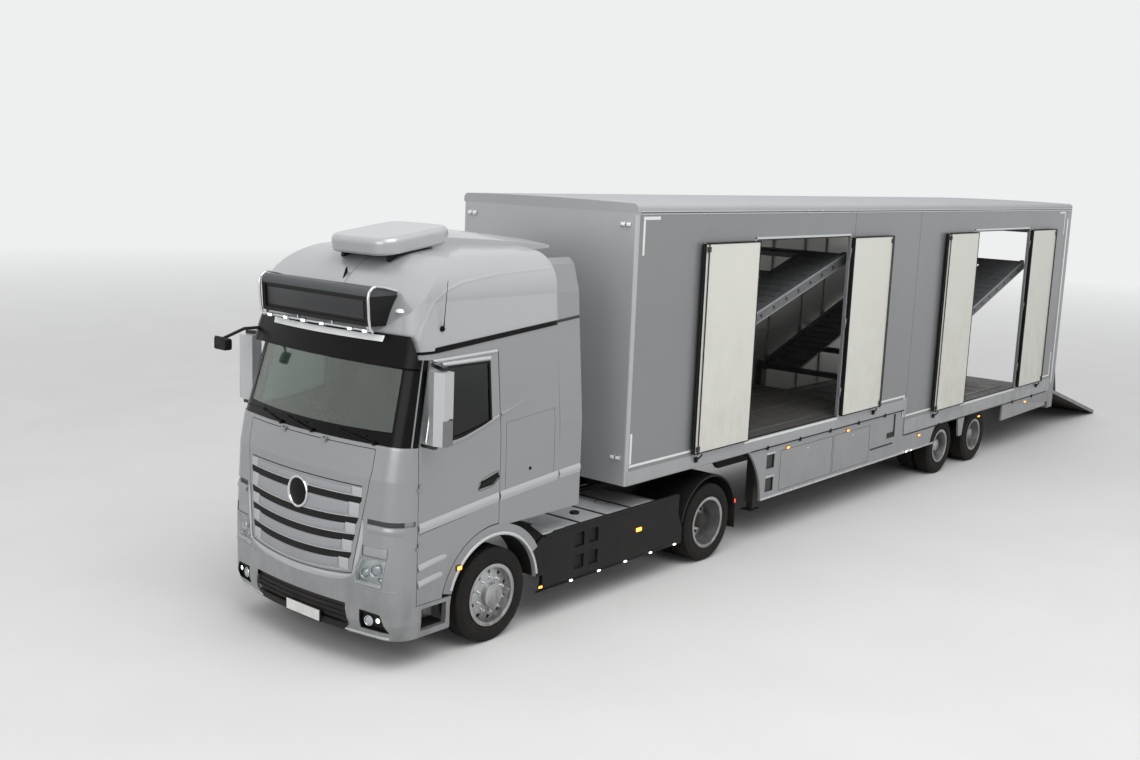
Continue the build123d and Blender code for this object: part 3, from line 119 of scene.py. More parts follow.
def place_parts(tree):
    return add_node(tree, "ShaderNodeSeparateXYZ", {0: object_place(tree)}).outputs


def from_parts(tree, x, y, z):
    return add_node(tree, "ShaderNodeCombineXYZ", {0: x, 1: y, 2: z}).outputs[0]


def stretched(tree, scale):
    """Object coordinates, stretched by a scale on each axis."""
    return add_node(tree, "ShaderNodeMapping", {"Vector": object_place(tree), "Scale": scale}).outputs[0]


def noise(tree, place, scale, detail, roughness=0.5):
    feeds = {"Vector": place, "Scale": scale, "Detail": detail, "Roughness": roughness}
    return add_node(tree, "ShaderNodeTexNoise", feeds).outputs["Fac"]


def ramp_between(tree, value, low, high):
    """A value's share of the way from low to high, kept between nought and one."""
    return add_node(tree, "ShaderNodeMapRange", {"Value": value, "From Min": low, "From Max": high}).outputs[0]


def start_group(name, inputs, outputs):
    """A new group, the sockets that its inputs come from, and the node that its results go to."""
    group = bpy.data.node_groups.new(name, "ShaderNodeTree")
    for label, value in inputs.items():
        kind = "NodeSocketColor" if isinstance(value, tuple) else "NodeSocketFloat"
        group.interface.new_socket(label, in_out="INPUT", socket_type=kind).default_value = value
    for label in outputs:
        kind = "NodeSocketColor" if label == "Color" else "NodeSocketFloat"
        group.interface.new_socket(label, in_out="OUTPUT", socket_type=kind)
    return group, group.nodes.new("NodeGroupInput").outputs, group.nodes.new("NodeGroupOutput")


def end_group(group, end, **results):
    feed(group, end.inputs, results)
    return group


MID_GREY = (0.5, 0.5, 0.5, 1.0)


def make_road_dirt():
    """Spray from the road: thick near the ground, fading out at Top, with streaks that run down."""
    inputs = {"Clean": MID_GREY, "Dirt": (0.1, 0.09, 0.08, 1.0), "Amount": 0.5, "Top": 1.4}
    group, start, end = start_group("road_dirt", inputs, ["Color", "Mask"])
    fade = ramp_between(group, arithmetic(group, "DIVIDE", place_parts(group)["Z"], start["Top"]), 1.0, 0.1)
    patches = ramp_between(group, noise(group, stretched(group, (1.6, 1.6, 1.1)), 2.4, 9, 0.62), 0.36, 0.68)
    runs = ramp_between(group, noise(group, stretched(group, (9.0, 9.0, 0.7)), 2.0, 5), 0.4, 0.75)
    spread = times(group, arithmetic(group, "MULTIPLY_ADD", runs, 0.45, patches), fade)
    mask = times(group, spread, start["Amount"], clamp=True)
    return end_group(group, end, Color=blend_colours(group, mask, start["Clean"], start["Dirt"]), Mask=mask)


def make_fine_grain():
    """The small roughness of a moulded, cast or sprayed surface, and a slow change of its shade."""
    inputs = {"Scale": 400.0, "Mottle": 0.1, "Base": MID_GREY}
    group, start, end = start_group("fine_grain", inputs, ["Color", "Height"])
    small = noise(group, object_place(group), start["Scale"], 3)
    swing = arithmetic(group, "SUBTRACT", noise(group, object_place(group), 1.3, 7, 0.6), 0.5)
    level = plus(group, times(group, swing, start["Mottle"]), 1.0)
    scaled = add_node(group, "ShaderNodeVectorMath", {0: start["Base"], "Scale": level}, operation="SCALE")
    return end_group(group, end, Color=scaled.outputs[0], Height=small)


def make_panel_ripple():
    """The slow wave that large thin panels have between their frames."""
    group, start, end = start_group("panel_ripple", {"Length": 1.0, "Upright": 0.5}, ["Height"])
    parts = place_parts(group)
    long_part = arithmetic(group, "DIVIDE", parts["X"], start["Length"])
    high_part = arithmetic(group, "DIVIDE", parts["Z"], start["Upright"])
    return end_group(group, end, Height=noise(group, from_parts(group, long_part, parts["Y"], high_part), 1.0, 1))


def make_edge_wear():
    """Where corners are rubbed: the bevelled normal leaves the true one, broken up by noise."""
    group, start, end = start_group("edge_wear", {"Radius": 0.006, "Amount": 1.0}, ["Mask"])
    rounded = add_node(group, "ShaderNodeBevel", {"Radius": start["Radius"]}, samples=3)
    true = add_node(group, "ShaderNodeNewGeometry")
    facing = add_node(group, "ShaderNodeVectorMath", {0: rounded.outputs[0], 1: true.outputs["Normal"]},
                      operation="DOT_PRODUCT")
    edge = ramp_between(group, facing.outputs["Value"], 0.985, 0.8)
    broken = ramp_between(group, noise(group, object_place(group), 14.0, 7, 0.7), 0.42, 0.62)
    mask = times(group, edge, broken)
    return end_group(group, end, Mask=times(group, mask, start["Amount"], clamp=True))


def make_scuffs():
    """Thin scratches and tyre rubs that lie mostly along the vehicle."""
    group, start, end = start_group("scuffs", {"Amount": 0.5, "Along": 0.6, "Across": 30.0}, ["Mask"])
    parts = place_parts(group)
    long_part = times(group, parts["X"], start["Along"])
    wide_part, high_part = (times(group, parts[axis], start["Across"]) for axis in "YZ")
    lines = noise(group, from_parts(group, long_part, wide_part, high_part), 1.0, 6)
    mask = times(group, ramp_between(group, lines, 0.56, 0.72), start["Amount"], clamp=True)
    return end_group(group, end, Mask=mask)


BAR_PITCH = 0.030


def make_tread_bars():
    """Short raised bars that cross each other at right angles, as on walkway plate."""
    group, start, end = start_group("tread_bars", {}, ["Height"])
    parts = place_parts(group)
    sum_part = plus(group, parts["X"], parts["Y"])
    gap_part = arithmetic(group, "SUBTRACT", parts["X"], parts["Y"])
    bars = []
    for first, second in ((sum_part, gap_part), (gap_part, sum_part)):
        fine = arithmetic(group, "SINE", times(group, first, 2 * pi / BAR_PITCH))
        long = arithmetic(group, "SINE", times(group, second, pi / BAR_PITCH))
        bars.append(times(group, ramp_between(group, fine, 0.55, 0.95), ramp_between(group, long, 0.1, 0.5)))
    return end_group(group, end, Height=arithmetic(group, "MAXIMUM", *bars))


tread_bars = make_tread_bars()
road_dirt = make_road_dirt()
fine_grain = make_fine_grain()
panel_ripple = make_panel_ripple()
edge_wear = make_edge_wear()
scuffs = make_scuffs()


def use_group(tree, group, **values):
    return add_node(tree, "ShaderNodeGroup", values, node_tree=group).outputs


def zone_mask(tree, tests):
    """One where every test holds. A test is an axis, the side it keeps, and its limit in metres."""
    parts = place_parts(tree)
    mask = None
    for axis, side, limit in tests:
        value = parts[axis[-1]]
        if axis.startswith("abs"):
            value = arithmetic(tree, "ABSOLUTE", value)
        found = arithmetic(tree, "LESS_THAN" if side == "below" else "GREATER_THAN", value, limit)
        mask = found if mask is None else times(tree, mask, found)
    return mask


def start_material(name):
    material = bpy.data.materials.new(name)
    material.use_nodes = True
    return material, material.node_tree, material.node_tree.nodes["Principled BSDF"].inputs


GRAIN_DEPTH = 0.02
TREAD_DEPTH = 0.0016
ROAD_DIRT = (78, 70, 62)
BARE_METAL = (150, 148, 144)
RUBBER_RUB = (40, 40, 40)


def make_finish(name, colour, roughness, metallic=0.0, coat=0.0, coat_roughness=0.05, grain=(900.0, 0.01),
                mottle=0.05, dirt=0.3, dirt_top=1.4, dirt_colour=ROAD_DIRT, ripple=None, wear=None, rub=None,
                rub_colour=RUBBER_RUB, zones=(), uneven=0.08, specular=0.5, tread=False):
    """A finish with grain, mottling, road dirt and, where it has them, ripples, scuffs and worn edges.

    zones lists (tests, colour) pairs, for places of one piece that have another colour.
    """
    material, tree, shader = start_material(name)
    clean = tint(*colour)
    for tests, other in zones:
        clean = blend_colours(tree, zone_mask(tree, tests), clean, tint(*other))
    surface = use_group(tree, fine_grain, Scale=grain[0], Mottle=mottle, Base=clean)
    shade = surface["Color"]
    height = times(tree, surface["Height"], grain[1] * GRAIN_DEPTH)
    if rub:
        marks = use_group(tree, scuffs, Amount=rub[0], Along=rub[1], Across=rub[2])
        shade = blend_colours(tree, marks["Mask"], shade, tint(*rub_colour))
    if wear:
        worn = use_group(tree, edge_wear, Radius=wear[0], Amount=wear[1])
        shade = blend_colours(tree, worn["Mask"], shade, tint(*BARE_METAL))
    spray = use_group(tree, road_dirt, Clean=shade, Dirt=tint(*dirt_colour), Amount=dirt, Top=dirt_top)
    change = arithmetic(tree, "SUBTRACT", noise(tree, object_place(tree), 3.1, 6), 0.5)
    rough = plus(tree, times(tree, change, 2 * uneven), roughness)
    rough = plus(tree, rough, times(tree, spray["Mask"], 0.4), clamp=True)
    if ripple:
        wave = use_group(tree, panel_ripple, Length=ripple[0], Upright=ripple[1])
        height = plus(tree, height, times(tree, wave["Height"], ripple[2]))
    if tread:
        bars = use_group(tree, tread_bars)
        height = plus(tree, height, times(tree, bars["Height"], TREAD_DEPTH))
    bump = add_node(tree, "ShaderNodeBump", {"Height": height, "Strength": 1.0, "Distance": 1.0})
    feed(tree, shader, {"Base Color": spray["Color"], "Roughness": rough, "Normal": bump.outputs[0],
                        "Metallic": metallic, "Specular IOR Level": specular, "Coat Weight": coat,
                        "Coat Roughness": coat_roughness})
    return material


def dimmed(colour, share):
    return tuple(part * share for part in colour[:3]) + (1.0,)


def make_glass(name, colour, index=1.45):
    """Clear or tinted glass, a little smeared."""
    material, tree, shader = start_material(name)
    colour = tint(*colour)
    level = ramp_between(tree, noise(tree, object_place(tree), 5.0, 6), 0.2, 0.8)
    smear = plus(tree, times(tree, level, 0.03), 0.02)
    feed(tree, shader, {"Base Color": blend_colours(tree, level, dimmed(colour, 0.86), colour), "Roughness": smear,
                        "Transmission Weight": 1.0, "IOR": index})
    return material


def make_glow(name, colour, strength):
    """A lamp that is lit, behind a faintly ribbed lens. The red tapes at the rear take one too: a painted glow."""
    material, tree, shader = start_material(name)
    colour = tint(*colour)
    shade = blend_colours(tree, noise(tree, object_place(tree), 160.0, 2), dimmed(colour, 0.7), colour)
    feed(tree, shader, {"Base Color": shade, "Emission Color": shade, "Emission Strength": strength,
                        "Roughness": 0.2, "Coat Weight": 0.6})
    return material


# Finishes of the vehicle

WALL_INSIDE = (("absY", "below", TRAILER_HALF_WIDTH - 0.0385), ("X", "above", along(0.02)))
LEAF_FACE = (("Y", "below", -(TRAILER_HALF_WIDTH + 0.03)),)
ARM_TOP = (("Z", "above", 2.792),)
ARM_FOOT = (("Z", "below", 2.128),)
MIRROR_PANEL = (("absY", "above", 1.489), ("Z", "below", 2.362))
INTAKE_ZONE = (("X", "below", at(0.200)), ("absY", "below", 0.664), ("Z", "below", 0.586))
FLARE_ZONE = (("absY", "above", 1.203), ("X", "below", at(2.200)))
SKIRT_STEP = (("X", "above", at(6.297)), ("X", "below", at(6.493)), ("absY", "below", 1.258), ("Z", "below", 1.126),
              ("Z", "above", 0.630))
HOOD_ZONE = (("Z", "above", 3.398),)
WHEEL_DIRT = (70, 62, 54)

FINISHES = {
    # colour, roughness, and what differs from a plain finish
    "cab_paint": ((150, 152, 154), 0.34, dict(metallic=0.55, coat=0.5, dirt=0.5, dirt_top=1.1, ripple=(0.9, 0.6,
        0.0006), uneven=0.04, zones=((INTAKE_ZONE, (14, 14, 15)),))),
    "roof_paint": ((178, 180, 182), 0.32, dict(metallic=0.4, coat=0.5, dirt=0.1, dirt_top=4.2, ripple=(1.1, 0.8,
        0.0006), uneven=0.04)),
    "black_plastic": ((15, 15, 16), 0.5, dict(grain=(700.0, 0.05), mottle=0.3, dirt=0.35, dirt_top=1.2,
        dirt_colour=(52, 48, 44), specular=0.25)),
    "glossy_black": ((4, 4, 5), 0.3, dict(mottle=0.1, dirt=0.05, dirt_top=3.2, specular=0.15)),
    "trim_dark": ((48, 47, 46), 0.62, dict(grain=(500.0, 0.06), mottle=0.1, dirt=0.0)),
    "seat_cloth": ((104, 98, 88), 0.9, dict(grain=(260.0, 0.12), mottle=0.1, dirt=0.0, specular=0.2)),
    "mirror_shell": ((186, 188, 190), 0.34, dict(metallic=0.4, coat=0.5, mottle=0.04, dirt=0.1, dirt_top=3.0,
        zones=((MIRROR_PANEL, (112, 114, 117)), (ARM_TOP, (12, 12, 13)), (ARM_FOOT, (12, 12, 13))))),
    "box_black": ((5, 5, 6), 0.45, dict(grain=(700.0, 0.02), mottle=0.1, dirt=0.05, dirt_top=4.0, specular=0.3,
        zones=((HOOD_ZONE, (74, 77, 79)),))),
    "wheel_metal": ((190, 191, 192), 0.28, dict(metallic=0.9, grain=(600.0, 0.03), mottle=0.12, dirt=0.75,
        dirt_top=1.2, dirt_colour=WHEEL_DIRT)),
    "trailer_rim": ((186, 187, 188), 0.34, dict(metallic=0.7, grain=(500.0, 0.04), mottle=0.12, dirt=0.85,
        dirt_top=1.2, dirt_colour=WHEEL_DIRT)),
    "tyre_rubber": ((22, 22, 22), 0.78, dict(grain=(320.0, 0.08), mottle=0.25, dirt=0.5, dirt_top=1.3,
        dirt_colour=(56, 50, 44), specular=0.25)),
    "chassis_steel": ((38, 38, 39), 0.55, dict(metallic=0.2, grain=(260.0, 0.06), mottle=0.25, dirt=0.7,
        dirt_top=1.6, wear=(0.005, 0.5))),
    "forged_steel": ((44, 42, 40), 0.5, dict(metallic=0.5, grain=(180.0, 0.1), mottle=0.3, dirt=0.8)),
    "tank_metal": ((168, 170, 172), 0.36, dict(metallic=0.85, grain=(380.0, 0.04), mottle=0.12, dirt=0.55,
        dirt_top=1.1, ripple=(0.5, 0.5, 0.0008))),
    "mudguard_plastic": ((17, 17, 18), 0.55, dict(grain=(420.0, 0.05), mottle=0.15, dirt=0.35, dirt_colour=(60, 56,
        50), specular=0.3, zones=((FLARE_ZONE, (146, 148, 150)),))),
    "body_grey": ((134, 136, 138), 0.36, dict(metallic=0.3, coat=0.3, dirt=0.2, dirt_top=1.9, ripple=(1.6, 1.3,
        0.0012), uneven=0.05, zones=((WALL_INSIDE, (196, 196, 190)),))),
    # Lighter than the side walls' grey: painted light for the front wall, which stands in the cab's shade.
    "front_wall_grey": ((176, 178, 180), 0.38, dict(metallic=0.3, coat=0.3, dirt=0.2, dirt_top=1.9, ripple=(1.6,
        1.3, 0.0012))),
    "skirt_grey": ((148, 150, 152), 0.38, dict(metallic=0.3, coat=0.3, dirt=0.18, dirt_top=1.3, ripple=(1.6, 1.3,
        0.0012), uneven=0.04, zones=((SKIRT_STEP, (16, 16, 17)),))),
    "body_roof": ((170, 172, 175), 0.58, dict(metallic=0.1, mottle=0.06, dirt=0.12, dirt_top=5.5, ripple=(1.2, 1.0,
        0.0012), specular=0.3)),
    "post_silver": ((150, 152, 155), 0.36, dict(metallic=0.5, coat=0.2, grain=(700.0, 0.02), mottle=0.08, dirt=0.5,
        dirt_top=1.6)),
    "door_cream": ((134, 137, 141), 0.42, dict(grain=(700.0, 0.02), dirt_top=3.4, dirt_colour=(150, 146, 134),
        ripple=(0.8, 1.4, 0.0008), zones=((LEAF_FACE, (216, 216, 208)),))),
    "floor_grey": ((92, 90, 88), 0.5, dict(metallic=0.2, grain=(240.0, 0.12), mottle=0.35, dirt=0.5, dirt_top=3.0,
        rub=(0.6, 0.7, 16.0))),
    "deck_grey": ((112, 114, 116), 0.45, dict(metallic=0.5, grain=(300.0, 0.08), mottle=0.25, dirt_top=5.0,
        rub=(0.5, 0.6, 22.0), wear=(0.006, 0.6))),
    "ramp_black": ((40, 40, 41), 0.6, dict(metallic=0.2, grain=(280.0, 0.12), mottle=0.3, dirt=0.6, rub=(0.6, 0.6,
        18.0), rub_colour=(84, 80, 74), wear=(0.006, 0.8))),
    "chrome": ((214, 216, 218), 0.1, dict(metallic=1.0, grain=(900.0, 0.005), mottle=0.04, dirt=0.05,
        dirt_top=3.4)),
    "reflective_white": ((226, 227, 226), 0.4, dict(grain=(1400.0, 0.05), dirt=0.2, dirt_top=1.8)),
    "lamp_silver": ((232, 234, 236), 0.28, dict(metallic=0.35, grain=(600.0, 0.02), dirt=0.02, dirt_top=2.0)),
    "mesh_black": ((14, 14, 15), 0.6, dict(grain=(300.0, 0.1), mottle=0.3, dirt=0.4, dirt_top=1.0)),
    "rail_silver": ((168, 170, 172), 0.36, dict(metallic=0.5, coat=0.2, grain=(700.0, 0.02), mottle=0.06, dirt=0.4,
        dirt_top=1.6)),
    "inner_white": ((190, 191, 188), 0.45, dict(grain=(500.0, 0.03), mottle=0.08, dirt=0.1, dirt_top=2.6)),
    "chequer_plate": ((196, 198, 200), 0.36, dict(metallic=0.45, grain=(400.0, 0.03), mottle=0.12, dirt_top=1.0,
        tread=True)),
    # Lighter than the cab's paint: a painted highlight for the pressed ledges, the slat caps and the bumper's bead,
    # where their tops catch the light.
    "ledge_silver": ((182, 184, 187), 0.34, dict(metallic=0.4, coat=0.4, mottle=0.04, dirt=0.15, dirt_top=1.2)),
    "trim_silver": ((206, 208, 210), 0.26, dict(metallic=0.7, coat=0.3, grain=(900.0, 0.005), mottle=0.04,
        dirt=0.2)),
    "slat_silver": ((160, 163, 167), 0.38, dict(metallic=0.6, coat=0.3, grain=(900.0, 0.02), dirt=0.4,
        dirt_top=1.3)),
    "trim_shadow": ((58, 59, 61), 0.5, dict(grain=(600.0, 0.02), mottle=0.1, dirt=0.2)),
    "bright_trim": ((238, 239, 240), 0.2, dict(coat=0.5, grain=(900.0, 0.003), mottle=0.03, dirt=0.03,
        dirt_top=3.4)),
    "lamp_core": ((176, 182, 186), 0.08, dict(metallic=0.5, coat=1.0, coat_roughness=0.02, grain=(500.0, 0.01),
        mottle=0.3, dirt=0.02)),
    "screen_black": ((4, 4, 5), 0.2, dict(grain=(900.0, 0.002), mottle=0.2, dirt=0.03, dirt_top=3.0,
        specular=0.15)),
    "bare_plate": ((222, 222, 218), 0.35, dict(mottle=0.04, dirt_top=0.9)),
    "sign_panel": ((38, 39, 41), 0.35, dict(mottle=0.1, dirt=0.02, dirt_top=4.0)),
    "rubber_seal": ((14, 14, 15), 0.65, dict(grain=(500.0, 0.04), mottle=0.2, dirt=0.1, dirt_top=3.0,
        specular=0.25)),
    "mirror_glass": ((205, 210, 214), 0.03, dict(metallic=1.0, grain=(900.0, 0.0), mottle=0.03, dirt=0.02,
        dirt_top=3.0)),
}
GLASSES = {
    # colour and index of refraction
    "screen_glass": ((206, 228, 210), 1.8),
    "side_glass": ((92, 100, 98), 1.45),
    "clear_lens": ((240, 243, 244), 1.45),
}
GLOWS = {
    # colour and strength
    "amber_lens": ((232, 120, 20), 0.5),
    "amber_lit": ((255, 150, 60), 4.0),
    "red_lens_and_tape_glow": ((170, 20, 18), 0.35),
    "red_lit": ((255, 60, 50), 4.0),
    "white_lit": ((255, 250, 240), 4.0),
}
finishes = {name: make_finish(name, colour, roughness, **more)
            for name, (colour, roughness, more) in FINISHES.items()}
finishes.update({name: make_glass(name, *values) for name, values in GLASSES.items()})
finishes.update({name: make_glow(name, *values) for name, values in GLOWS.items()})


def both_sides(*names):
    return tuple(f"{name}_{side}" for name in names for side in ("left", "right"))


NODE_FINISHES = {
    "cab_paint": ("cab_shell", "front_flap", "front_bumper", "side_extensions", *both_sides("cab_door")),
    "roof_paint": ("cab_roof",),
    "glossy_black": ("sun_visor",),
    "box_black": ("light_box",),
    "screen_glass": ("windscreen",),
    "side_glass": both_sides("door_glass"),
    "clear_lens": ("headlamps",),
    "mirror_shell": both_sides("mirror"),
    "trim_dark": ("dashboard", "steering_wheel"),
    "seat_cloth": ("seats_and_bunk",),
    "wheel_metal": both_sides("front_rim", "drive_rims"),
    "trailer_rim": both_sides("trailer_rims_1", "trailer_rims_2"),
    "tyre_rubber": both_sides("front_tyre", "drive_tyres", "trailer_tyres_1", "trailer_tyres_2"),
    "chassis_steel": ("chassis_frame", "trailer_frame", "engine_block", "landing_legs", "trailer_axles"),
    "forged_steel": ("tractor_axles", "fifth_wheel", *both_sides("knuckle")),
    "tank_metal": ("side_tanks",),
    "black_plastic": ("side_skirts",),
    "mudguard_plastic": ("mudguards",),
    "body_grey": both_sides("trailer_wall"),
    "front_wall_grey": ("trailer_front_wall",),
    "skirt_grey": ("trailer_skirts",),
    "body_roof": ("trailer_roof",),
    "post_silver": ("rear_frame",),
    "door_cream": tuple(f"side_door_{number}" for number in (1, 2, 3, 4)),
    "floor_grey": ("trailer_floor",),
    "deck_grey": ("front_upper_deck", "rear_upper_deck"),
    "ramp_black": ("rear_ramp",),
}
for finish, names in NODE_FINISHES.items():
    for name in names:
        mesh = nodes[name].data
        if not mesh.materials:
            mesh.materials.append(finishes[finish])
        for slot in nodes[name].material_slots:
            slot.material = finishes[finish]

# Which of the record's slots a finish belongs to, where it isn't one itself
SLOTS = {
    "cab_paint": ("ledge_silver", "trim_silver", "slat_silver", "bright_trim"),
    "body_grey": ("front_wall_grey", "skirt_grey", "rail_silver", "inner_white", "reflective_white", "bare_plate"),
    "tank_metal": ("chequer_plate",),
    "wheel_metal": ("chrome",),
    "mirror_shell": ("mirror_glass",),
    "glazing": ("screen_glass", "side_glass"),
    "black_plastic": ("trim_shadow", "screen_black", "glossy_black", "sign_panel", "rubber_seal", "mesh_black"),
    "lamp_lens": ("lamp_core", "lamp_silver", "clear_lens", *GLOWS),
}
slot_of = {finish: slot for slot, members in SLOTS.items() for finish in members}


# Modelling steps

finished_shelf = bpy.data.collections.new("finished_pieces")


def only(obj):
    """Nothing but this piece is selected."""
    bpy.ops.object.select_all(action="DESELECT")
    obj.select_set(True)
    bpy.context.view_layer.objects.active = obj


def just_added(name):
    """The piece that was just added, with its name."""
    obj = bpy.context.active_object
    obj.name = name
    return obj


def settle(obj):
    """A piece's place, turn and scale go into its mesh."""
    only(obj)
    bpy.ops.object.transform_apply(location=True, rotation=True, scale=True)
    return obj


def begin_block(name, low, high):
    bpy.ops.object.select_all(action="DESELECT")
    centre = [(a + b) / 2 for a, b in zip(low, high)]
    bpy.ops.mesh.primitive_cube_add(size=1, location=centre)
    obj = just_added(name)
    obj.scale = [abs(b - a) for a, b in zip(low, high)]
    return settle(obj)


def begin_rod(name, start, end, radius, sides=20, tip=None):
    """A round bar between two points. tip is its radius at the far end, where it tapers."""
    start, end = Vector(start), Vector(end)
    bpy.ops.object.select_all(action="DESELECT")
    bpy.ops.mesh.primitive_cone_add(vertices=sides, radius1=radius, radius2=radius if tip is None else tip,
                                    depth=(end - start).length, location=(start + end) / 2)
    obj = just_added(name)
    obj.rotation_euler = (end - start).to_track_quat("Z", "Y").to_euler()
    return settle(obj)


def begin_points(name, points, fill):
    """A circle whose corners go to these points, filled with a face or open."""
    bpy.ops.object.select_all(action="DESELECT")
    bpy.ops.mesh.primitive_circle_add(vertices=len(points), radius=1, fill_type=fill)
    obj = just_added(name)
    for vertex, point in zip(obj.data.vertices, points):
        vertex.co = point
    obj.data.update()
    return obj


def enter_edit(obj, mode="FACE", chosen="DESELECT"):
    only(obj)
    bpy.ops.object.mode_set(mode="EDIT")
    bpy.ops.mesh.select_mode(type=mode)
    bpy.ops.mesh.select_all(action=chosen)


def leave_edit(obj):
    bpy.ops.object.mode_set(mode="OBJECT")
    return obj


def pick_faces(obj, test):
    """Opens a piece for editing, with the faces selected that pass a test of their centre and normal."""
    enter_edit(obj)
    mesh = bmesh.from_edit_mesh(obj.data)
    for face in mesh.faces:
        face.select_set(bool(test(face.calc_center_median(), face.normal)))
    bmesh.update_edit_mesh(obj.data)


def inset_faces(obj, test, thickness, depth, separate=False):
    pick_faces(obj, test)
    bpy.ops.mesh.inset(thickness=thickness, depth=depth, use_individual=separate)
    return leave_edit(obj)


def move_faces(obj, test, move):
    pick_faces(obj, test)
    bpy.ops.transform.translate(value=move)
    return leave_edit(obj)


def right_normals(obj):
    enter_edit(obj, chosen="SELECT")
    bpy.ops.mesh.remove_doubles(threshold=0.00005)
    bpy.ops.mesh.normals_make_consistent(inside=False)
    return leave_edit(obj)


def extrude_outline(name, points, move):
    """A plate: an outline carried along a move, and closed."""
    obj = begin_points(name, points, "NGON")
    enter_edit(obj, chosen="SELECT")
    bpy.ops.mesh.extrude_region_move(TRANSFORM_OT_translate={"value": move})
    return right_normals(leave_edit(obj))


def modified(obj, name, kind, **settings):
    """A piece with a modifier applied to it."""
    only(obj)
    modifier = obj.modifiers.new(name, kind)
    for key, value in settings.items():
        setattr(modifier, key, value)
    bpy.ops.object.modifier_apply(modifier=modifier.name)
    return obj


def soften(obj, width, segments=2):
    return modified(obj, "soft_edges", "BEVEL", width=width, segments=segments, limit_method="ANGLE",
                    angle_limit=radians(30))


def give_thickness(obj, thickness):
    return modified(obj, "wall", "SOLIDIFY", thickness=thickness, offset=-1.0)


def turned(name, outline, steps=48, axis="Y"):
    """An outline of (radius, place along the axis) pairs, spun round the axis at the origin."""
    points = []
    for radius, place in outline:
        points.append({"X": (place, radius, 0), "Y": (radius, place, 0), "Z": (radius, 0, place)}[axis])
    obj = begin_points(name, points, "NOTHING")
    enter_edit(obj, "VERT", "SELECT")
    bpy.ops.mesh.spin(steps=steps, angle=2 * pi, center=(0, 0, 0), axis=[int(axis == letter) for letter in "XYZ"])
    return right_normals(leave_edit(obj))


def copy_piece(obj, name, shift=(0, 0, 0), other_side=False, turn=None):
    """A copy with its own mesh, turned about the origin, mirrored to the other side or shifted."""
    made = obj.copy()
    made.data = obj.data.copy()
    made.name = name
    bpy.context.scene.collection.objects.link(made)
    if turn is not None:
        made.data.transform(turn)
    if other_side:
        made.data.transform(Matrix.Diagonal((1, -1, 1, 1)))
        made.data.flip_normals()
    made.data.transform(Matrix.Translation(shift))
    made.data.update()
    return made


def joined(name, pieces):
    bpy.ops.object.select_all(action="DESELECT")
    for piece in pieces:
        piece.select_set(True)
    bpy.context.view_layer.objects.active = pieces[0]
    if len(pieces) > 1:
        bpy.ops.object.join()
    pieces[0].name = name
    return pieces[0]


def drop_pieces(pieces):
    for piece in pieces:
        bpy.data.objects.remove(piece)


def shelve(obj):
    """Finished pieces wait outside the scene until all are made, because each tool is quicker in a small scene."""
    for home in list(obj.users_collection):
        home.objects.unlink(obj)
    finished_shelf.objects.link(obj)


def dress(obj, finish, body="tractor", smooth=32):
    """The last step of a piece: its finish, its smooth faces, and the body that it rides on."""
    obj.data.materials.clear()
    obj.data.materials.append(finishes[finish])
    only(obj)
    bpy.ops.object.shade_smooth_by_angle(angle=radians(smooth))
    slot_of.get(finish, finish)
    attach(obj, body)
    shelve(obj)
    return obj


def mirrored_pair(obj, finish, bodies="tractor", smooth=32):
    """The near-side piece and its copy on the far side. Bodies is one name, or a name for each side."""
    near, far = (bodies, bodies) if isinstance(bodies, str) else bodies
    twin = copy_piece(obj, obj.name.replace("_left", "") + "_right", other_side=True)
    if not obj.name.endswith("_left"):
        obj.name += "_left"
    dress(obj, finish, near, smooth)
    dress(twin, finish, far, smooth)


def soft_block(name, low, high, edge=0.004, segments=2):
    return soften(begin_block(name, low, high), edge, segments)


def centred_block(name, centre, reach, edge=0.004, segments=2):
    """A soft block from its centre, and its reach from there on each axis."""
    low = [middle - half for middle, half in zip(centre, reach)]
    high = [middle + half for middle, half in zip(centre, reach)]
    return soft_block(name, low, high, edge, segments)


def station_block(name, stations, across, heights, edge=0.002, segments=1):
    """A block of the tractor from its stations, its places across and its heights."""
    return soft_block(name, *zip((at(station) for station in stations), across, heights), edge, segments)


def bent_tube(name, points, radius, sides=4):
    """A tube through points, rounded where it bends, as a mesh."""
    curve = bpy.data.curves.new(name, "CURVE")
    curve.dimensions = "3D"
    curve.bevel_depth = radius
    curve.bevel_resolution = sides
    curve.use_fill_caps = True
    line = curve.splines.new("POLY")
    line.points.add(len(points) - 1)
    for spot, point in zip(line.points, points):
        spot.co = (*point, 1.0)
    obj = bpy.data.objects.new(name, curve)
    bpy.context.scene.collection.objects.link(obj)
    only(obj)
    bpy.ops.object.convert(target="MESH")
    return right_normals(bpy.context.active_object)


# Wheels

def tyre_outline(radius, width, bead, grooves, groove_depth, tread_drop=0.0):
    """Half of it is built from bead to tread, then mirrored: radius and place across."""
    half = width / 2
    crown = radius - tread_drop
    side = [
        (bead + 0.001, half - 0.030), (bead + 0.004, half - 0.012), (bead + 0.018, half - 0.010),
        (bead + 0.026, half - 0.016), (bead + 0.050, half - 0.004), (bead + 0.056, half - 0.007),
        (bead + 0.100, half - 0.0005), (radius - 0.060, half - 0.004), (radius - 0.054, half - 0.001),
        (radius - 0.044, half - 0.009), (radius - 0.020, half - 0.016), (radius - 0.008, half - 0.024),
        (crown - 0.001, half - 0.034),
    ]
    tread = []
    for place in grooves:
        tread += [(crown, place + 0.006), (crown - groove_depth, place + 0.0045),
                  (crown - groove_depth, place - 0.0045), (crown, place - 0.006)]
    return side + tread + [(r, -y) for r, y in reversed(side)]


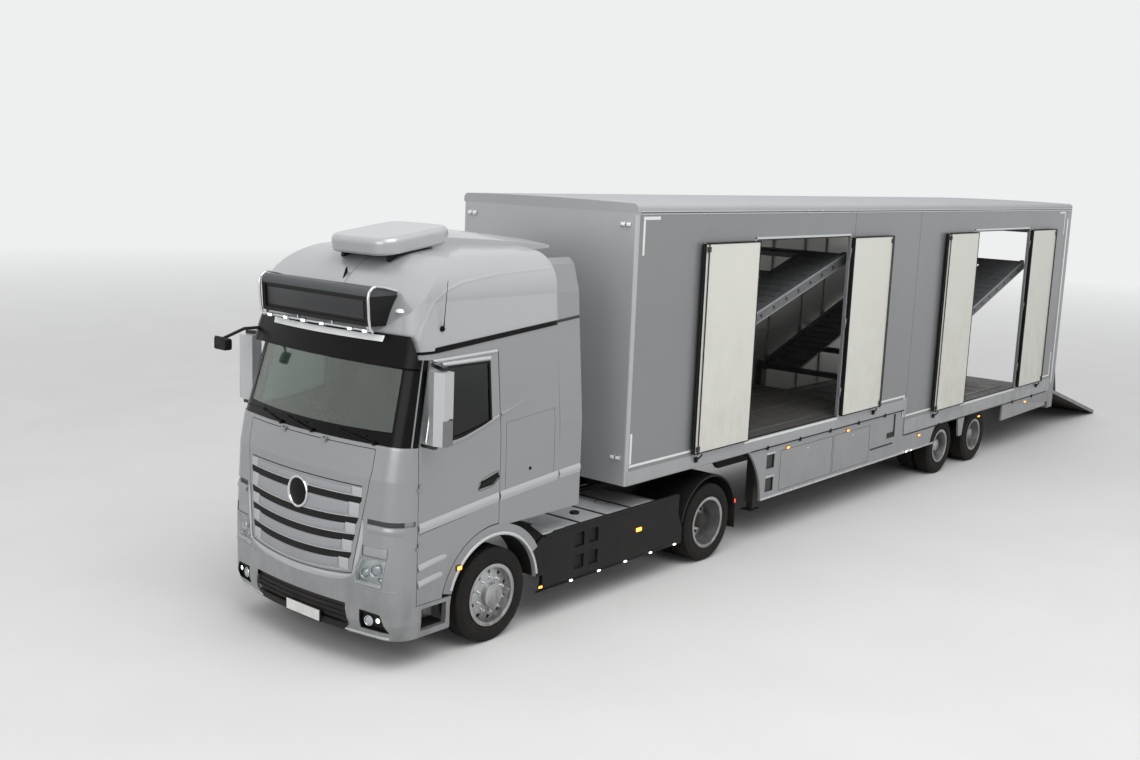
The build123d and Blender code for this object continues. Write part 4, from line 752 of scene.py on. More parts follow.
def make_drive_tyre():
    """A block tread: every patch of the crown is inset and raised by itself."""
    drop = 0.016
    outline = tyre_outline(TYRE_RADIUS, TYRE_WIDTH, RIM_RADIUS, (), 0.0, tread_drop=drop)
    count = len(outline) // 2
    crown = TYRE_RADIUS - drop
    columns = [(crown, place) for place in (0.078, 0.030, -0.030, -0.078)]
    obj = turned("drive_tyre", outline[:count] + columns + outline[count:], 66)

    def on_crown(centre, normal):
        reach = (centre.x ** 2 + centre.z ** 2) ** 0.5
        return reach > crown - 0.004 and abs(centre.y) < TYRE_WIDTH / 2 - 0.030

    return inset_faces(obj, on_crown, 0.0045, drop - 0.001, separate=True)


def round_axle(count, radius, start=0.0):
    """Points at even steps round an axle, as X and Z."""
    for number in range(count):
        angle = 2 * pi * (number + start) / count
        yield radius * cos(angle), radius * sin(angle)


def wheel_nuts(name, offset, outward):
    """Ten hexagon nuts on a ring, each with its washer and the stud's end."""
    parts = []
    for x, z in round_axle(10, NUT_RING, 0.5):
        for label, start, end, radius, sides in NUT_PARTS:
            part = begin_rod(label, (x, offset + outward * start, z), (x, offset + outward * end, z), radius, sides)
            parts.append(soften(part, 0.0016, 1) if label == "nut" else part)
    return joined(name, parts)


def hub_cap(name, radius, offset, outward, depth):
    """A domed cap with a rolled edge and a raised ring of bolt heads."""
    profile = ((0.0, 1.0), (0.45, 0.97), (0.72, 0.80), (0.80, 0.55), (0.93, 0.50), (1.0, 0.36))
    outline = [(radius * share, offset + outward * (depth * rise)) for share, rise in profile]
    back = offset + outward * -0.004
    cap = turned(name, [*outline, (radius, back), (0.0, back)], 40)
    low, high = offset + outward * depth * 0.4, offset + outward * depth * 0.74
    heads = [begin_rod("head", (x, low, z), (x, high, z), radius * 0.06, 6) for x, z in round_axle(8, radius * 0.86)]
    return joined(name, [cap, *heads])


def rim_ring(name, radius, offset, outward):
    """The bright rolled lip of a rim, just proud of the pressed one."""
    profile = ((-0.024, 0.000), (-0.018, 0.0035), (0.004, 0.0045), (0.0112, 0.0035), (0.0112, -0.006),
               (-0.024, -0.006))
    return turned(name, [(radius + wider, offset + outward * y) for wider, y in profile], 72)


def valve(name, offset, outward):
    points = [(VALVE_RING - inward, offset + outward * out, 0)
              for inward, out in ((0.0, 0.0), (0.012, 0.045), (0.012, 0.043), (0.015, 0.058))]
    stem = begin_rod("stem", points[0], points[1], 0.005, 10)
    return joined(name, [stem, begin_rod("cap", points[2], points[3], 0.0065, 10)])


RIM_RADIUS = 0.298
TRAILER_RIM_RADIUS = 0.250
NUT_RING = 0.1675
VALVE_RING = 0.255
NUT_PARTS = (
    # piece, from and to along the stud, radius, sides
    ("washer", 0.0, 0.005, 0.016 * 1.25, 14), ("nut", 0.004, 0.028, 0.016, 6), ("stud", 0.028, 0.040, 0.008, 10),
)
WHEELS = {
    # kind: place across, tyre's radius, how far in each tyre stands, and the places out of the nuts, of the cap
    # (after its radius, with its depth and finish), of the lip (after its radius) and of the valve
    "front": (HALF_WIDTH - 0.020 - TYRE_WIDTH / 2, TYRE_RADIUS, (0.0,),
              0.0995, (0.116, 0.1545, 0.024, "wheel_metal"), (RIM_RADIUS, 0.1365), 0.078),
    "drive": (HALF_WIDTH - 0.020 - TYRE_WIDTH / 2, TYRE_RADIUS, (0.0, 0.335),
              -0.133, (0.090, 0.052, 0.022, "forged_steel"), (RIM_RADIUS, 0.1365), -0.110),
    "trailer": (TRAILER_HALF_WIDTH - 0.044 - TRAILER_TYRE_WIDTH / 2, TRAILER_TYRE_RADIUS, (0.0, 0.300),
                -0.120, (0.088, 0.052, 0.026, "wheel_metal"), (TRAILER_RIM_RADIUS, 0.120), None),
}
AXLES = (
    # kind, station, and the names before the side: of the tyre, its body, the node it replaces, and its details
    ("front", FRONT_AXLE, "steer_tyre", "front_wheel", "front_tyre", ""),
    ("drive", DRIVE_AXLE, "drive_tyre_pair", "drive_wheels", "drive_tyres", ""),
    ("trailer", TRAILER_AXLES[0], "trailer_tyre_pair_1", "trailer_wheels_1", "trailer_tyres_1", "1_"),
    ("trailer", TRAILER_AXLES[1], "trailer_tyre_pair_2", "trailer_wheels_2", "trailer_tyres_2", "2_"),
)


def wheel_details(kind, outward):
    nuts, (cap, cap_place, depth, cap_finish), (lip, lip_place), stem = WHEELS[kind][3:]
    parts = [
        (wheel_nuts(f"{kind}_nuts", outward * nuts, outward), "chrome"),
        (hub_cap(f"{kind}_hub_cap", cap, outward * cap_place, outward, depth), cap_finish),
        (rim_ring(f"{kind}_lip", lip, outward * lip_place, outward), "wheel_metal"),
    ]
    if stem is not None:
        parts.append((valve(f"{kind}_valve", outward * stem, outward), "chrome"))
    return parts


def fit_wheels():
    steer = tyre_outline(TYRE_RADIUS, TYRE_WIDTH, RIM_RADIUS, (0.078, 0.026, -0.026, -0.078), 0.013)
    trailing = tyre_outline(TRAILER_TYRE_RADIUS, TRAILER_TYRE_WIDTH, TRAILER_RIM_RADIUS,
                            (0.066, 0.022, -0.022, -0.066), 0.012)
    tyres = {"front": turned("steer_tyre", steer, 84), "drive": make_drive_tyre(),
             "trailer": turned("trailer_tyre", trailing, 60)}
    for side, outward in SIDES:
        details = {kind: wheel_details(kind, outward) for kind in tyres}
        for kind, axle, tyre, body, node, label in AXLES:
            across, radius, gaps = WHEELS[kind][:3]
            spot = Vector((at(axle), outward * across, radius))
            twins = [copy_piece(tyres[kind], "one", spot + Vector((0, -outward * gap, 0))) for gap in gaps]
            made = dress(joined(f"{tyre}_{side}", twins), "tyre_rubber", f"{body}_{side}")
            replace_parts(made, f"{node}_{side}")
            for piece, finish in details[kind]:
                dress(copy_piece(piece, f"{piece.name}_{label}{side}", spot), finish, f"{body}_{side}")
        drop_pieces([piece for parts in details.values() for piece, finish in parts])
    drop_pieces(tyres.values())


# The cab's skin, as its levels give it

CAB_LEVELS = (
    # height, nose, half width
    (0.300, 0.050, 1.232), (0.450, 0.004, 1.250), (1.000, 0.000, 1.250), (1.780, 0.045, 1.250),
    (2.060, 0.095, 1.246), (3.200, 0.415, 1.153),
)
NOSE_SAG = 0.105
NOSE_LIMIT = -9.5656
CORNER_LENGTH = 0.260
CORNER_WIDTH = 0.230
CORNER_RADIUS = 0.24639
CORNER_SHIFT = (0.01413, 0.01598)


def cab_level(height):
    """Nose and half width of the cab at a height."""
    for low, high in zip(CAB_LEVELS, CAB_LEVELS[1:]):
        if height <= high[0]:
            break
    share = (height - low[0]) / (high[0] - low[0])
    return [a + share * (b - a) for a, b in zip(low[1:], high[1:])]


def corner_centre(nose, half):
    """The middle of the cab's round corner: its station, and its distance from the centre line."""
    return nose + NOSE_SAG + CORNER_LENGTH - CORNER_SHIFT[0], half - CORNER_WIDTH - CORNER_SHIFT[1]


def on_cab(y, height, out=0.0, grow=0.0):
    """The point of the cab's front or round corner at a place across, so far out of the skin.

    grow makes the whole cab that much larger all round first, as the sun visor is.
    """
    nose, half = cab_level(height)
    nose -= grow
    half += grow
    chord = half - CORNER_WIDTH
    bow = (chord ** 2 + NOSE_SAG ** 2) / (2 * NOSE_SAG)
    if abs(y) <= chord:
        turn = asin(y / bow)
        return Vector((at(nose + bow - (bow + out) * cos(turn)), (bow + out) * sin(turn), height))
    centre_x, centre_y = corner_centre(nose, half)
    turn = asin(min(1.0, (abs(y) - centre_y) / CORNER_RADIUS))
    reach = CORNER_RADIUS + out
    side = 1 if y > 0 else -1
    return Vector((at(centre_x - reach * cos(turn)), side * (centre_y + reach * sin(turn)), height))


def on_side(station, height, out=0.0):
    """The point of the cab's near side at a station, so far out of the skin."""
    nose, half = cab_level(height)
    centre_x, across = corner_centre(nose, half)
    if station < centre_x:
        across += max(0.0, (CORNER_RADIUS + out) ** 2 - (centre_x - station) ** 2) ** 0.5
    else:
        across = half + out
    return Vector((at(station), -across, height))


def hit(node, start, direction):
    """Where a straight line from a point meets a CAD node, and the surface's normal there."""
    found, place, normal, face = nodes[node].ray_cast(Vector(start), Vector(direction))
    if not found:
        raise ValueError(f"nothing of {node} at {tuple(start)}")
    return place, normal


def begin_sheet(name, columns, rows, place):
    """A grid whose points go where place puts them, from their shares along and up it."""
    bpy.ops.object.select_all(action="DESELECT")
    bpy.ops.mesh.primitive_grid_add(x_subdivisions=columns, y_subdivisions=rows, size=1)
    obj = just_added(name)
    for vertex in obj.data.vertices:
        vertex.co = place(vertex.co.x + 0.5, vertex.co.y + 0.5)
    obj.data.update()
    return obj


def along_rows(rows, share):
    """The values of a table of rows at a share of the way through it."""
    spot = min(share, 0.9999) * (len(rows) - 1)
    low, high = rows[int(spot)], rows[int(spot) + 1]
    part = spot - int(spot)
    return [a + part * (b - a) for a, b in zip(low, high)]


def front_sheet(name, rows, out, thickness, columns=24, steps=4, grow=0.0):
    """A sheet on the cab's front. Each row is a height, two places across, and its sag in the middle."""
    def place(share, up):
        height, first, last, sag = along_rows(rows, up)
        y = last + share * (first - last)
        reach = max(abs(first), abs(last))
        return on_cab(y, height - sag * (1 - (y / reach) ** 2), out, grow)

    sheet = begin_sheet(name, columns, steps, place)
    return give_thickness(sheet, thickness) if thickness else sheet


def fit_band(name, rows, out, thickness, grid, finish, edge=None, body="tractor", grow=0.0):
    """A dressed sheet right across the cab's front. Each row is a height, the reach to each side, and a sag."""
    rows = [(height, -reach, reach, sag) for height, reach, sag in rows]
    sheet = front_sheet(name, rows, out, thickness, *grid, grow)
    dress(soften(sheet, *edge) if edge else sheet, finish, body)


def corner_sheet(name, rows, out, thickness, grid):
    """A sheet on the near front corner. Each row is a height, and an outer and an inner distance across."""
    return front_sheet(name, [(height, -outer, -inner, 0.0) for height, outer, inner in rows], out, thickness, *grid)


def fit_corners(name, rows, out, thickness, grid, finish, edge=None):
    sheet = corner_sheet(name, rows, out, thickness, grid)
    mirrored_pair(soften(sheet, *edge) if edge else sheet, finish)


def side_sheet(name, low, high, out, thickness, columns=12, steps=3):
    """A sheet on the cab's near side between a lower and an upper line of (station, height) points."""
    def place(share, up):
        first, last = along_rows(low, share), along_rows(high, share)
        return on_side(*(a + up * (b - a) for a, b in zip(first, last)), out)

    sheet = begin_sheet(name, columns, steps, place)
    return give_thickness(sheet, thickness) if thickness else sheet


def side_ridge(name, line, profile, columns=16, fade=False):
    """A raised line on the near side. Its profile is (height above the line, out of the skin) pairs."""
    def place(share, up):
        station, height = along_rows(line, share)
        rise, out = along_rows(profile, up)
        return on_side(station, height + rise, out * (1 - share if fade else 1) - 0.001)

    return begin_sheet(name, columns, len(profile), place)


def sink_sheet(obj, rim, move):
    """All of a sheet but its rim is sunk by a move."""
    enter_edit(obj, chosen="SELECT")
    bpy.ops.mesh.inset(thickness=rim)
    bpy.ops.mesh.extrude_region_move(TRANSFORM_OT_translate={"value": move})
    return leave_edit(obj)


def disc_lamp(name, centre, radius, depth, normal=(-1, 0, 0)):
    """A round lamp: a ring with a rolled edge and a domed face, looking along a normal."""
    turn = Vector(normal).to_track_quat("X", "Z").to_matrix().to_4x4()
    made = []
    for label, profile in LAMP_PROFILES.items():
        piece = turned(label, [(radius * wide, depth * deep) for wide, deep in profile], 28, "X")
        made.append(copy_piece(piece, f"{name}_{label}", centre, turn=turn))
        drop_pieces([piece])
    return made


def fit_disc_lamp(name, centre, radius, depth, normal, finish, body="tractor"):
    """A round lamp on each side of the vehicle."""
    ring, face = disc_lamp(name, centre, radius, depth, normal)
    mirrored_pair(ring, "chrome", body)
    mirrored_pair(face, finish, body)


LAMP_PROFILES = {
    # share of the radius, and of the depth
    "ring": ((0.80, 0.0), (0.84, 1.0), (0.92, 1.15), (1.0, 0.8), (1.0, -1.0), (0.80, -1.0)),
    "face": ((0.0, 0.9), (0.4, 0.75), (0.72, 0.35), (0.81, -0.1), (0.81, -1.0), (0.0, -1.0)),
}


# Front of the cab

SLATS = (
    # bottom, top, half width there, sag of the lower and of the upper edge
    (1.603, 1.690, 0.866, 0.012, 0.000),
    (1.411, 1.547, 0.842, 0.038, 0.012),
    (1.249, 1.354, 0.812, 0.042, 0.038),
    (1.079, 1.192, 0.784, 0.048, 0.042),
    (0.907, 1.022, 0.752, 0.055, 0.048),
)


def fit_flap_band(name, rows, out, thickness, grid, finish, edge=None):
    fit_band(name, rows, out, thickness, grid, finish, edge, "front_flap")


def fit_flap():
    fit_flap_band("flap_mesh", ((0.985, 0.750, 0.050), (1.620, 0.858, 0.0)), -0.026, 0.004, (30, 8), "mesh_black")
    for number, (low, high, half, low_sag, high_sag) in enumerate(SLATS, 1):
        edge = half - 0.052
        inner = edge - 0.118
        rows = ((low + 0.006, -edge, -inner - 0.012, low_sag * 0.25), (high - 0.006, -edge, -inner, high_sag * 0.25))
        # The caps take the lighter ledge finish: a painted highlight on their silver.
        cap = front_sheet(f"slat_cap_{number}", rows, 0.0032, 0.0045, 6, 3)
        mirrored_pair(soften(cap, 0.0016), "ledge_silver", "front_flap")
        rows = ((low + 0.020, inner - 0.018, low_sag), (high - 0.020, inner - 0.006, high_sag))
        fit_flap_band(f"slat_blade_{number}", rows, 0.0026, 0.004, (30, 3), "slat_silver", (0.0014,))
        rows = ((low + 0.001, half - 0.045, low_sag), (low + 0.007, half - 0.045, low_sag))
        fit_flap_band(f"slat_lip_{number}", rows, 0.0030, 0.005, (30, 2), "trim_silver", (0.0010,))
    # Black bands over the gaps between the slats, in the rubber seal's finish: painted shade.
    for number, (above, below) in enumerate(zip(SLATS, SLATS[1:]), 1):
        rows = ((below[1] - 0.009, below[2] - 0.046, below[4]), (above[0] + 0.002, above[2] - 0.046, above[3]))
        fit_flap_band(f"slat_gap_{number}", rows, 0.0016, 0.004, (30, 3), "rubber_seal")
    fit_flap_band("bonnet_line", ((1.6965, 0.815, 0.0), (1.7055, 0.815, 0.0)), 0.0007, 0.0015, (30, 2),
                  "glossy_black")
    fit_badge()


BADGE_PARTS = (
    # name, finish, how far it hangs below the others, outline
    ("badge_ring", "chrome", 0.0, ((0.124, -0.016), (0.130, -0.026), (0.141, -0.030), (0.150, -0.024),
                                   (0.153, -0.010), (0.153, 0.020), (0.120, 0.020))),
    ("badge_disc", "glossy_black", 0.0, ((0.0, -0.022), (0.060, -0.020), (0.100, -0.016), (0.126, -0.012),
                                         (0.126, 0.018), (0.0, 0.018))),
    ("badge_foot", "black_plastic", -0.022, ((0.0, -0.004), (0.158, -0.004), (0.166, 0.000), (0.166, 0.018),
                                             (0.0, 0.018))),
)


def fit_badge():
    """A plain round badge with a bright ring, over the first slats and the second gap."""
    tilt = Matrix.Rotation(radians(3.3), 4, "Y")
    for name, finish, drop, outline in BADGE_PARTS:
        piece = turned(name, outline, 64, "X")
        dress(copy_piece(piece, f"front_{name}", (at(0.0385), 0.0, 1.508 + drop), turn=tilt), finish, "front_flap")
        drop_pieces([piece])


FRAME_PATH = (
    # across, height, the way outwards there, and the width, down the flap's left side and along its foot
    (-0.840, 1.400, -1.0, 0.0, 0.040), (-0.814, 1.250, -1.0, 0.0, 0.044), (-0.792, 1.120, -1.0, 0.0, 0.044),
    (-0.771, 1.000, -1.0, 0.0, 0.040), (-0.761, 0.940, -0.98, -0.2, 0.022), (-0.752, 0.888, -0.70, -0.70, 0.020),
    (-0.720, 0.873, -0.2, -1.0, 0.030), (-0.640, 0.859, -0.1, -1.0, 0.050), (-0.500, 0.842, -0.1, -1.0, 0.060),
    (-0.260, 0.827, -0.05, -1.0, 0.064), (0.0, 0.822, 0.0, -1.0, 0.066),
)
FRAME_PROFILE = ((0.0, 0.001), (0.10, 0.009), (0.26, 0.013), (0.50, 0.012), (0.77, 0.005), (1.0, -0.001))


def fit_flap_frame():
    """The rolled edge of the bumper round the foot of the flap, in the lighter ledge finish: a painted highlight where
    it catches the light.
    """
    def place(share, up):
        across, height, side, rise, width = along_rows(FRAME_PATH, 1 - abs(2 * share - 1))
        part, out = along_rows(FRAME_PROFILE, up)
        width *= part * min(1.0, 0.25 + 12 * min(share, 1 - share))
        spot = on_cab(across + side * width, height + rise * width, out)
        spot.x = max(spot.x, NOSE_LIMIT)
        return Vector((spot.x, spot.y * (1 if share <= 0.5 else -1), spot.z))

    dress(begin_sheet("flap_frame", 72, 10, place), "ledge_silver", smooth=60)


LAMP_ROWS = ((0.803, 1.071, 0.779), (0.903, 1.088, 0.769), (0.980, 1.101, 0.812), (1.057, 1.114, 0.853))


def fit_headlamps():
    lens = corner_sheet("headlamp_lens", LAMP_ROWS, 0.001, 0.004, (10, 8))
    twin = copy_piece(lens, "headlamp_lens_right", other_side=True)
    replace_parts(dress(joined("headlamp_lenses", [lens, twin]), "clear_lens"), "headlamps")
    bowl = corner_sheet("headlamp_bowl", LAMP_ROWS, -0.0045, 0.0, (10, 8))
    mirrored_pair(sink_sheet(bowl, 0.010, (0.062, 0.016, 0.0)), "lamp_silver")
    fit_corners("headlamp_brow", ((0.812, 1.062, 0.790), (0.832, 1.066, 0.786)), -0.010, 0.012, (10, 2),
                "reflective_white", (0.002,))
    for number, (y, height, radius) in enumerate(((-0.985, 0.945, 0.056), (-0.868, 0.905, 0.044),
                                                  (-1.040, 0.862, 0.026)), 1):
        fit_disc_lamp(f"main_lamp_{number}", on_cab(y, height, -0.040), radius, 0.014, (-1.0, -0.25, 0.05),
                      "lamp_core")
    fit_corners("corner_blank", ((1.078, 1.118, 0.858), (1.168, 1.118, 0.858)), -0.0085, 0.003, (12, 3),
                "slat_silver", (0.0012,))
    fit_corners("corner_crease", ((0.765, 1.19, 0.70), (0.783, 1.20, 0.70)), 0.005, 0.008, (16, 2), "cab_paint",
                (0.003, 3))

    def swage_place(share, up):
        height = along_rows(((1.290,), (1.330,), (1.366,)), up)[0]
        return on_cab(-0.905 - share * 0.317, height, 0.012 * (1 - abs(2 * up - 1)) - 0.001)

    mirrored_pair(begin_sheet("corner_swage", 16, 5, swage_place), "cab_paint")
    fit_corners("corner_groove", ((1.374, 1.222, 0.902), (1.418, 1.222, 0.902)), -0.0165, 0.003, (16, 2),
                "trim_shadow")


def fit_bumper():
    pocket = corner_sheet("fog_pocket", ((0.385, 1.130, 0.833), (0.470, 1.097, 0.833), (0.552, 1.064, 0.833)),
                          -0.0005, 0.0, (10, 6))
    mirrored_pair(sink_sheet(pocket, 0.007, (0.036, 0.008, 0.0)), "black_plastic")
    for number, (y, height, radius, finish) in enumerate(((-0.925, 0.470, 0.050, "lamp_core"),
                                                          (-1.030, 0.488, 0.026, "white_lit")), 1):
        fit_disc_lamp(f"fog_lamp_{number}", on_cab(y, height, -0.026), radius, 0.012, (-1.0, -0.2, 0.0), finish)
    fit_band("intake_mesh", ((0.384, 0.692, 0.0), (0.579, 0.647, 0.0)), -0.030, 0.004, (24, 4), "mesh_black")
    for number, height in enumerate((0.432, 0.482, 0.532), 1):
        reach = 0.692 - (height - 0.384) * 0.23
        fit_band(f"intake_bar_{number}", ((height - 0.005, reach, 0.0), (height + 0.005, reach, 0.0)), -0.014, 0.010,
                 (24, 2), "black_plastic", (0.002,))
    fit_band("intake_lip", ((0.302, 0.600, 0.0), (0.374, 0.690, 0.0)), 0.0022, 0.004, (30, 3), "black_plastic",
             (0.0012,))
    fit_corners("lip_strip", ((0.310, 1.120, 0.620), (0.334, 1.120, 0.640)), 0.006, 0.009, (16, 2), "trim_silver",
                (0.003, 3))
    front = on_cab(-0.09, 0.38).x
    dress(soft_block("plate_holder", (front - 0.013, -0.345, 0.316), (front + 0.006, 0.165, 0.440), 0.005, 3),
          "black_plastic")
    plate = begin_block("blank_plate", (front - 0.0155, -0.335, 0.326), (front - 0.012, 0.155, 0.430))
    inset_faces(plate, lambda centre, normal: normal.x < -0.9, 0.006, -0.0006)
    dress(soften(plate, 0.0010), "bare_plate")


WIPERS = ((-0.88, -0.16), (-0.10, 0.56), (0.38, 0.98))
SCREEN_SINK = 0.0085


def fit_screen():
    """The black band printed round the windscreen, and the wipers."""
    fit_band("screen_foot_band", ((2.088, 1.185, 0.0), (2.215, 1.190, 0.020)), -SCREEN_SINK, 0.001, (48, 4),
             "screen_black")
    fit_band("screen_top_band", ((2.775, 1.150, 0.0), (2.848, 1.140, 0.0)), -SCREEN_SINK, 0.001, (48, 3),
             "screen_black")

    def pillar_place(share, up):
        height = 2.088 + up * 0.760
        rear = 0.333 + (height - 2.085) * 0.2484
        centre_x, centre_y = corner_centre(*cab_level(height))
        centre = Vector((at(centre_x), -centre_y, height))
        first, last = (atan2(run.y, run.x) % (2 * pi) for run in (
            on_cab(-(1.045 - 0.060 * up), height, -SCREEN_SINK) - centre,
            on_side(rear - 0.002, height, -SCREEN_SINK) - centre))
        angle = first + share * (last - first)
        return centre + (CORNER_RADIUS - SCREEN_SINK) * Vector((cos(angle), sin(angle), 0.0))

    pillar = begin_sheet("screen_side_band", 10, 10, pillar_place)
    mirrored_pair(give_thickness(pillar, 0.001), "screen_black")
    edge = side_sheet("pillar_black", ((0.336, 2.086), (0.388, 2.086)), ((0.524, 2.850), (0.566, 2.850)), 0.0012,
                      0.0015, 3, 8)
    mirrored_pair(edge, "screen_black")
    for number, (foot, tip) in enumerate(WIPERS, 1):
        path = (on_cab(foot, 2.100, 0.014), on_cab(foot + 0.30, 2.150, 0.020),
                on_cab((foot + tip) / 2 + 0.10, 2.172, 0.016))
        pivot = begin_rod("pivot", on_cab(foot, 2.098, -0.012), on_cab(foot, 2.098, 0.022), 0.020, 16)
        parts = [soften(pivot, 0.005), bent_tube("arm", path, 0.0065, 3)]
        rows = [(height, foot + 0.10, tip + 0.10, 0.0) for height in (2.148, 2.160)]
        parts.append(soften(front_sheet("blade", rows, 0.006, 0.013, 16, 2), 0.002))
        dress(joined(f"wiper_{number}", parts), "glossy_black")


BOX_BAR = ((0.232, 3.078), (0.196, 3.120), (0.183, 3.200), (0.170, 3.385), (0.180, 3.440), (0.215, 3.474),
           (0.262, 3.490), (0.345, 3.478), (0.500, 3.440))


def fit_light_box():
    fit_band("visor_strip", ((2.990, 0.790, 0.0), (3.046, 0.800, 0.0)), 0.003, 0.006, (36, 3), "bright_trim",
             (0.002,), grow=0.075)
    rail = begin_rod("lamp_rail", (at(0.212), -0.79, 3.092), (at(0.212), 0.79, 3.092), 0.011, 14)
    brackets = [soft_block("bracket", (at(0.205), y - 0.008, 3.085), (at(0.24), y + 0.008, 3.135), 0.002)
                for y in (-0.74, -0.25, 0.25, 0.74)]
    dress(joined("lamp_rail", [rail, *brackets]), "chrome")
    for number, y in enumerate((-0.735, -0.530, -0.135, 0.135, 0.400, 0.640), 1):
        dress(centred_block(f"rail_lamp_{number}", (at(0.1955), y, 3.092), (0.0195, 0.033, 0.016), 0.006, 3),
              "chrome")
        dress(centred_block(f"rail_lamp_face_{number}", (at(0.17725), y, 3.092), (0.00275, 0.026, 0.011), 0.003),
              "white_lit")
    for label, side in SIDES:
        bar = bent_tube(f"box_bar_{label}", [(at(x), side * 0.790, z) for x, z in BOX_BAR], 0.0125, 4)
        dress(bar, "chrome", smooth=60)

    def blank_place(share, up):
        height = 3.192 + up * 0.166
        return Vector((at(0.2098 - (height - 3.166) * 0.0642), 0.690 - share * 1.380, height))

    blank = give_thickness(begin_sheet("sign_blank", 2, 2, blank_place), 0.004)
    dress(soften(blank, 0.0015), "sign_panel")


# Sides and roof of the cab

DOORS = ("cab_door_left", "cab_door_right")
# Pressed lines of the side, as (height above the line, out of the skin) pairs
LEDGE = ((-0.055, 0.0), (-0.046, 0.004), (-0.010, 0.013), (0.002, 0.014), (0.030, 0.005), (0.042, 0.0))
STEP = ((-0.012, 0.0), (-0.006, 0.011), (0.004, 0.015), (0.050, 0.002), (0.058, 0.0))
SIDE_LINES = (
    # name, its line of (station, height) points, profile, columns, whether it fades rearward, finish, bodies
    # The ledges take a finish lighter than the cab's paint: a painted highlight for the light their tops catch.
    ("door_waist", ((0.399, 1.346), (1.430, 1.462)), LEDGE, 24, False, "ledge_silver", DOORS),
    ("door_step_line_1", ((0.399, 0.948), (0.790, 1.012)), STEP, 14, True, "ledge_silver", DOORS),
    ("door_step_line_2", ((0.399, 0.792), (0.735, 0.852)), STEP, 14, True, "ledge_silver", DOORS),
    ("window_sill_line", ((0.720, 2.048), (0.960, 2.085), (1.200, 2.150), (1.420, 2.225)),
     ((-0.010, 0.0), (0.0, 0.010), (0.026, 0.010), (0.034, 0.0)), 14, False, "cab_paint", DOORS),
    ("door_top_line", ((0.600, 2.838), (1.428, 2.862)),
     ((-0.014, 0.0), (-0.008, 0.012), (0.010, 0.014), (0.016, 0.0)), 14, False, "trim_silver", DOORS),
    ("window_top_bar", ((0.700, 2.803), (1.325, 2.806)),
     ((-0.020, 0.0), (-0.014, 0.016), (0.010, 0.020), (0.018, 0.0)), 12, False, "trim_silver", DOORS),
    ("shell_waist", ((1.452, 1.464), (2.292, 1.536)), LEDGE, 20, False, "ledge_silver", "tractor"),
    ("extension_waist", ((2.308, 1.538), (2.636, 1.560)), LEDGE, 8, False, "ledge_silver", "tractor"),
    ("shell_upper_line", ((1.460, 2.240), (1.700, 2.310), (2.050, 2.395)),
     ((-0.010, 0.0), (0.0, 0.008), (0.022, 0.008), (0.030, 0.0)), 14, True, "cab_paint", "tractor"),
    ("locker_foot_line", ((1.520, 1.492), (2.225, 1.552)), ((-0.006, 0.0), (0.0, 0.006), (0.012, 0.0)), 14, False,
     "cab_paint", "tractor"),
)
WINDOW = ((0.472, 2.082), (0.642, 2.778), (1.328, 2.778), (1.328, 2.192), (1.120, 2.146), (0.900, 2.102))


def fit_window():
    """The bar in front of the door's window, and the rubber round it, which is wider along the foot and rear."""
    def bar_place(share, up):
        rise, out = along_rows(((-0.022, 0.0), (-0.016, 0.014), (0.008, 0.016), (0.014, 0.0)), up)
        return on_side(0.4795 + share * 0.1605 - rise, 2.120 + share * 0.660, out - 0.001)

    mirrored_pair(right_normals(begin_sheet("window_front_bar", 14, 5, bar_place)), "trim_silver", DOORS, 60)
    rubber = []
    for number, (start, end) in enumerate(zip(WINDOW, WINDOW[1:] + WINDOW[:1])):
        wide = 0.030 if number in (3, 4, 5) else 0.020
        inward = Vector((end[1] - start[1], start[0] - end[0])).normalized() * wide
        high = [(point[0] + inward.x, point[1] + inward.y) for point in (start, end)]
        rubber.append(side_sheet("rubber", (start, end), high, -0.004, 0.008, 6, 2))
    mirrored_pair(right_normals(joined("window_rubber", rubber)), "rubber_seal", DOORS)


def fit_door():
    """The pressed lines of the cab's sides, and the window frame and handle of each door."""
    for name, line, profile, columns, fade, finish, bodies in SIDE_LINES:
        mirrored_pair(side_ridge(name, line, profile, columns, fade), finish, bodies, 60)
    shade = side_sheet("door_waist_line", ((0.399, 1.283), (1.000, 1.352)), ((0.399, 1.289), (1.000, 1.355)), 0.0008,
                       0.0012, 12, 2)
    mirrored_pair(shade, "trim_shadow", DOORS)
    fit_window()
    cup = side_sheet("handle_cup", ((1.146, 1.566), (1.200, 1.556), (1.358, 1.576), (1.438, 1.640)),
                     ((1.158, 1.634), (1.230, 1.680), (1.340, 1.708), (1.426, 1.722)), 0.0004, 0.0, 10, 4)
    mirrored_pair(sink_sheet(cup, 0.005, (0.0, 0.019, 0.0)), "black_plastic", DOORS)
    pull = side_sheet("handle_pull", ((1.180, 1.620), (1.300, 1.640), (1.418, 1.668)),
                      ((1.190, 1.648), (1.300, 1.674), (1.412, 1.702)), 0.002, 0.014, 8, 2)
    mirrored_pair(soften(pull, 0.003), "glossy_black", DOORS)


def gutter_line(stations, rise, slope=0.0):
    return [(x, 2.915 + (x - 0.430) * 0.085 + rise - slope * x) for x in stations]


def on_arch(angle, radius, out):
    """A point on the near side round the front wheel's arch."""
    angle = radians(angle)
    return Vector((at(FRONT_AXLE) + radius * cos(angle), -HALF_WIDTH - out, TYRE_RADIUS + radius * sin(angle)))


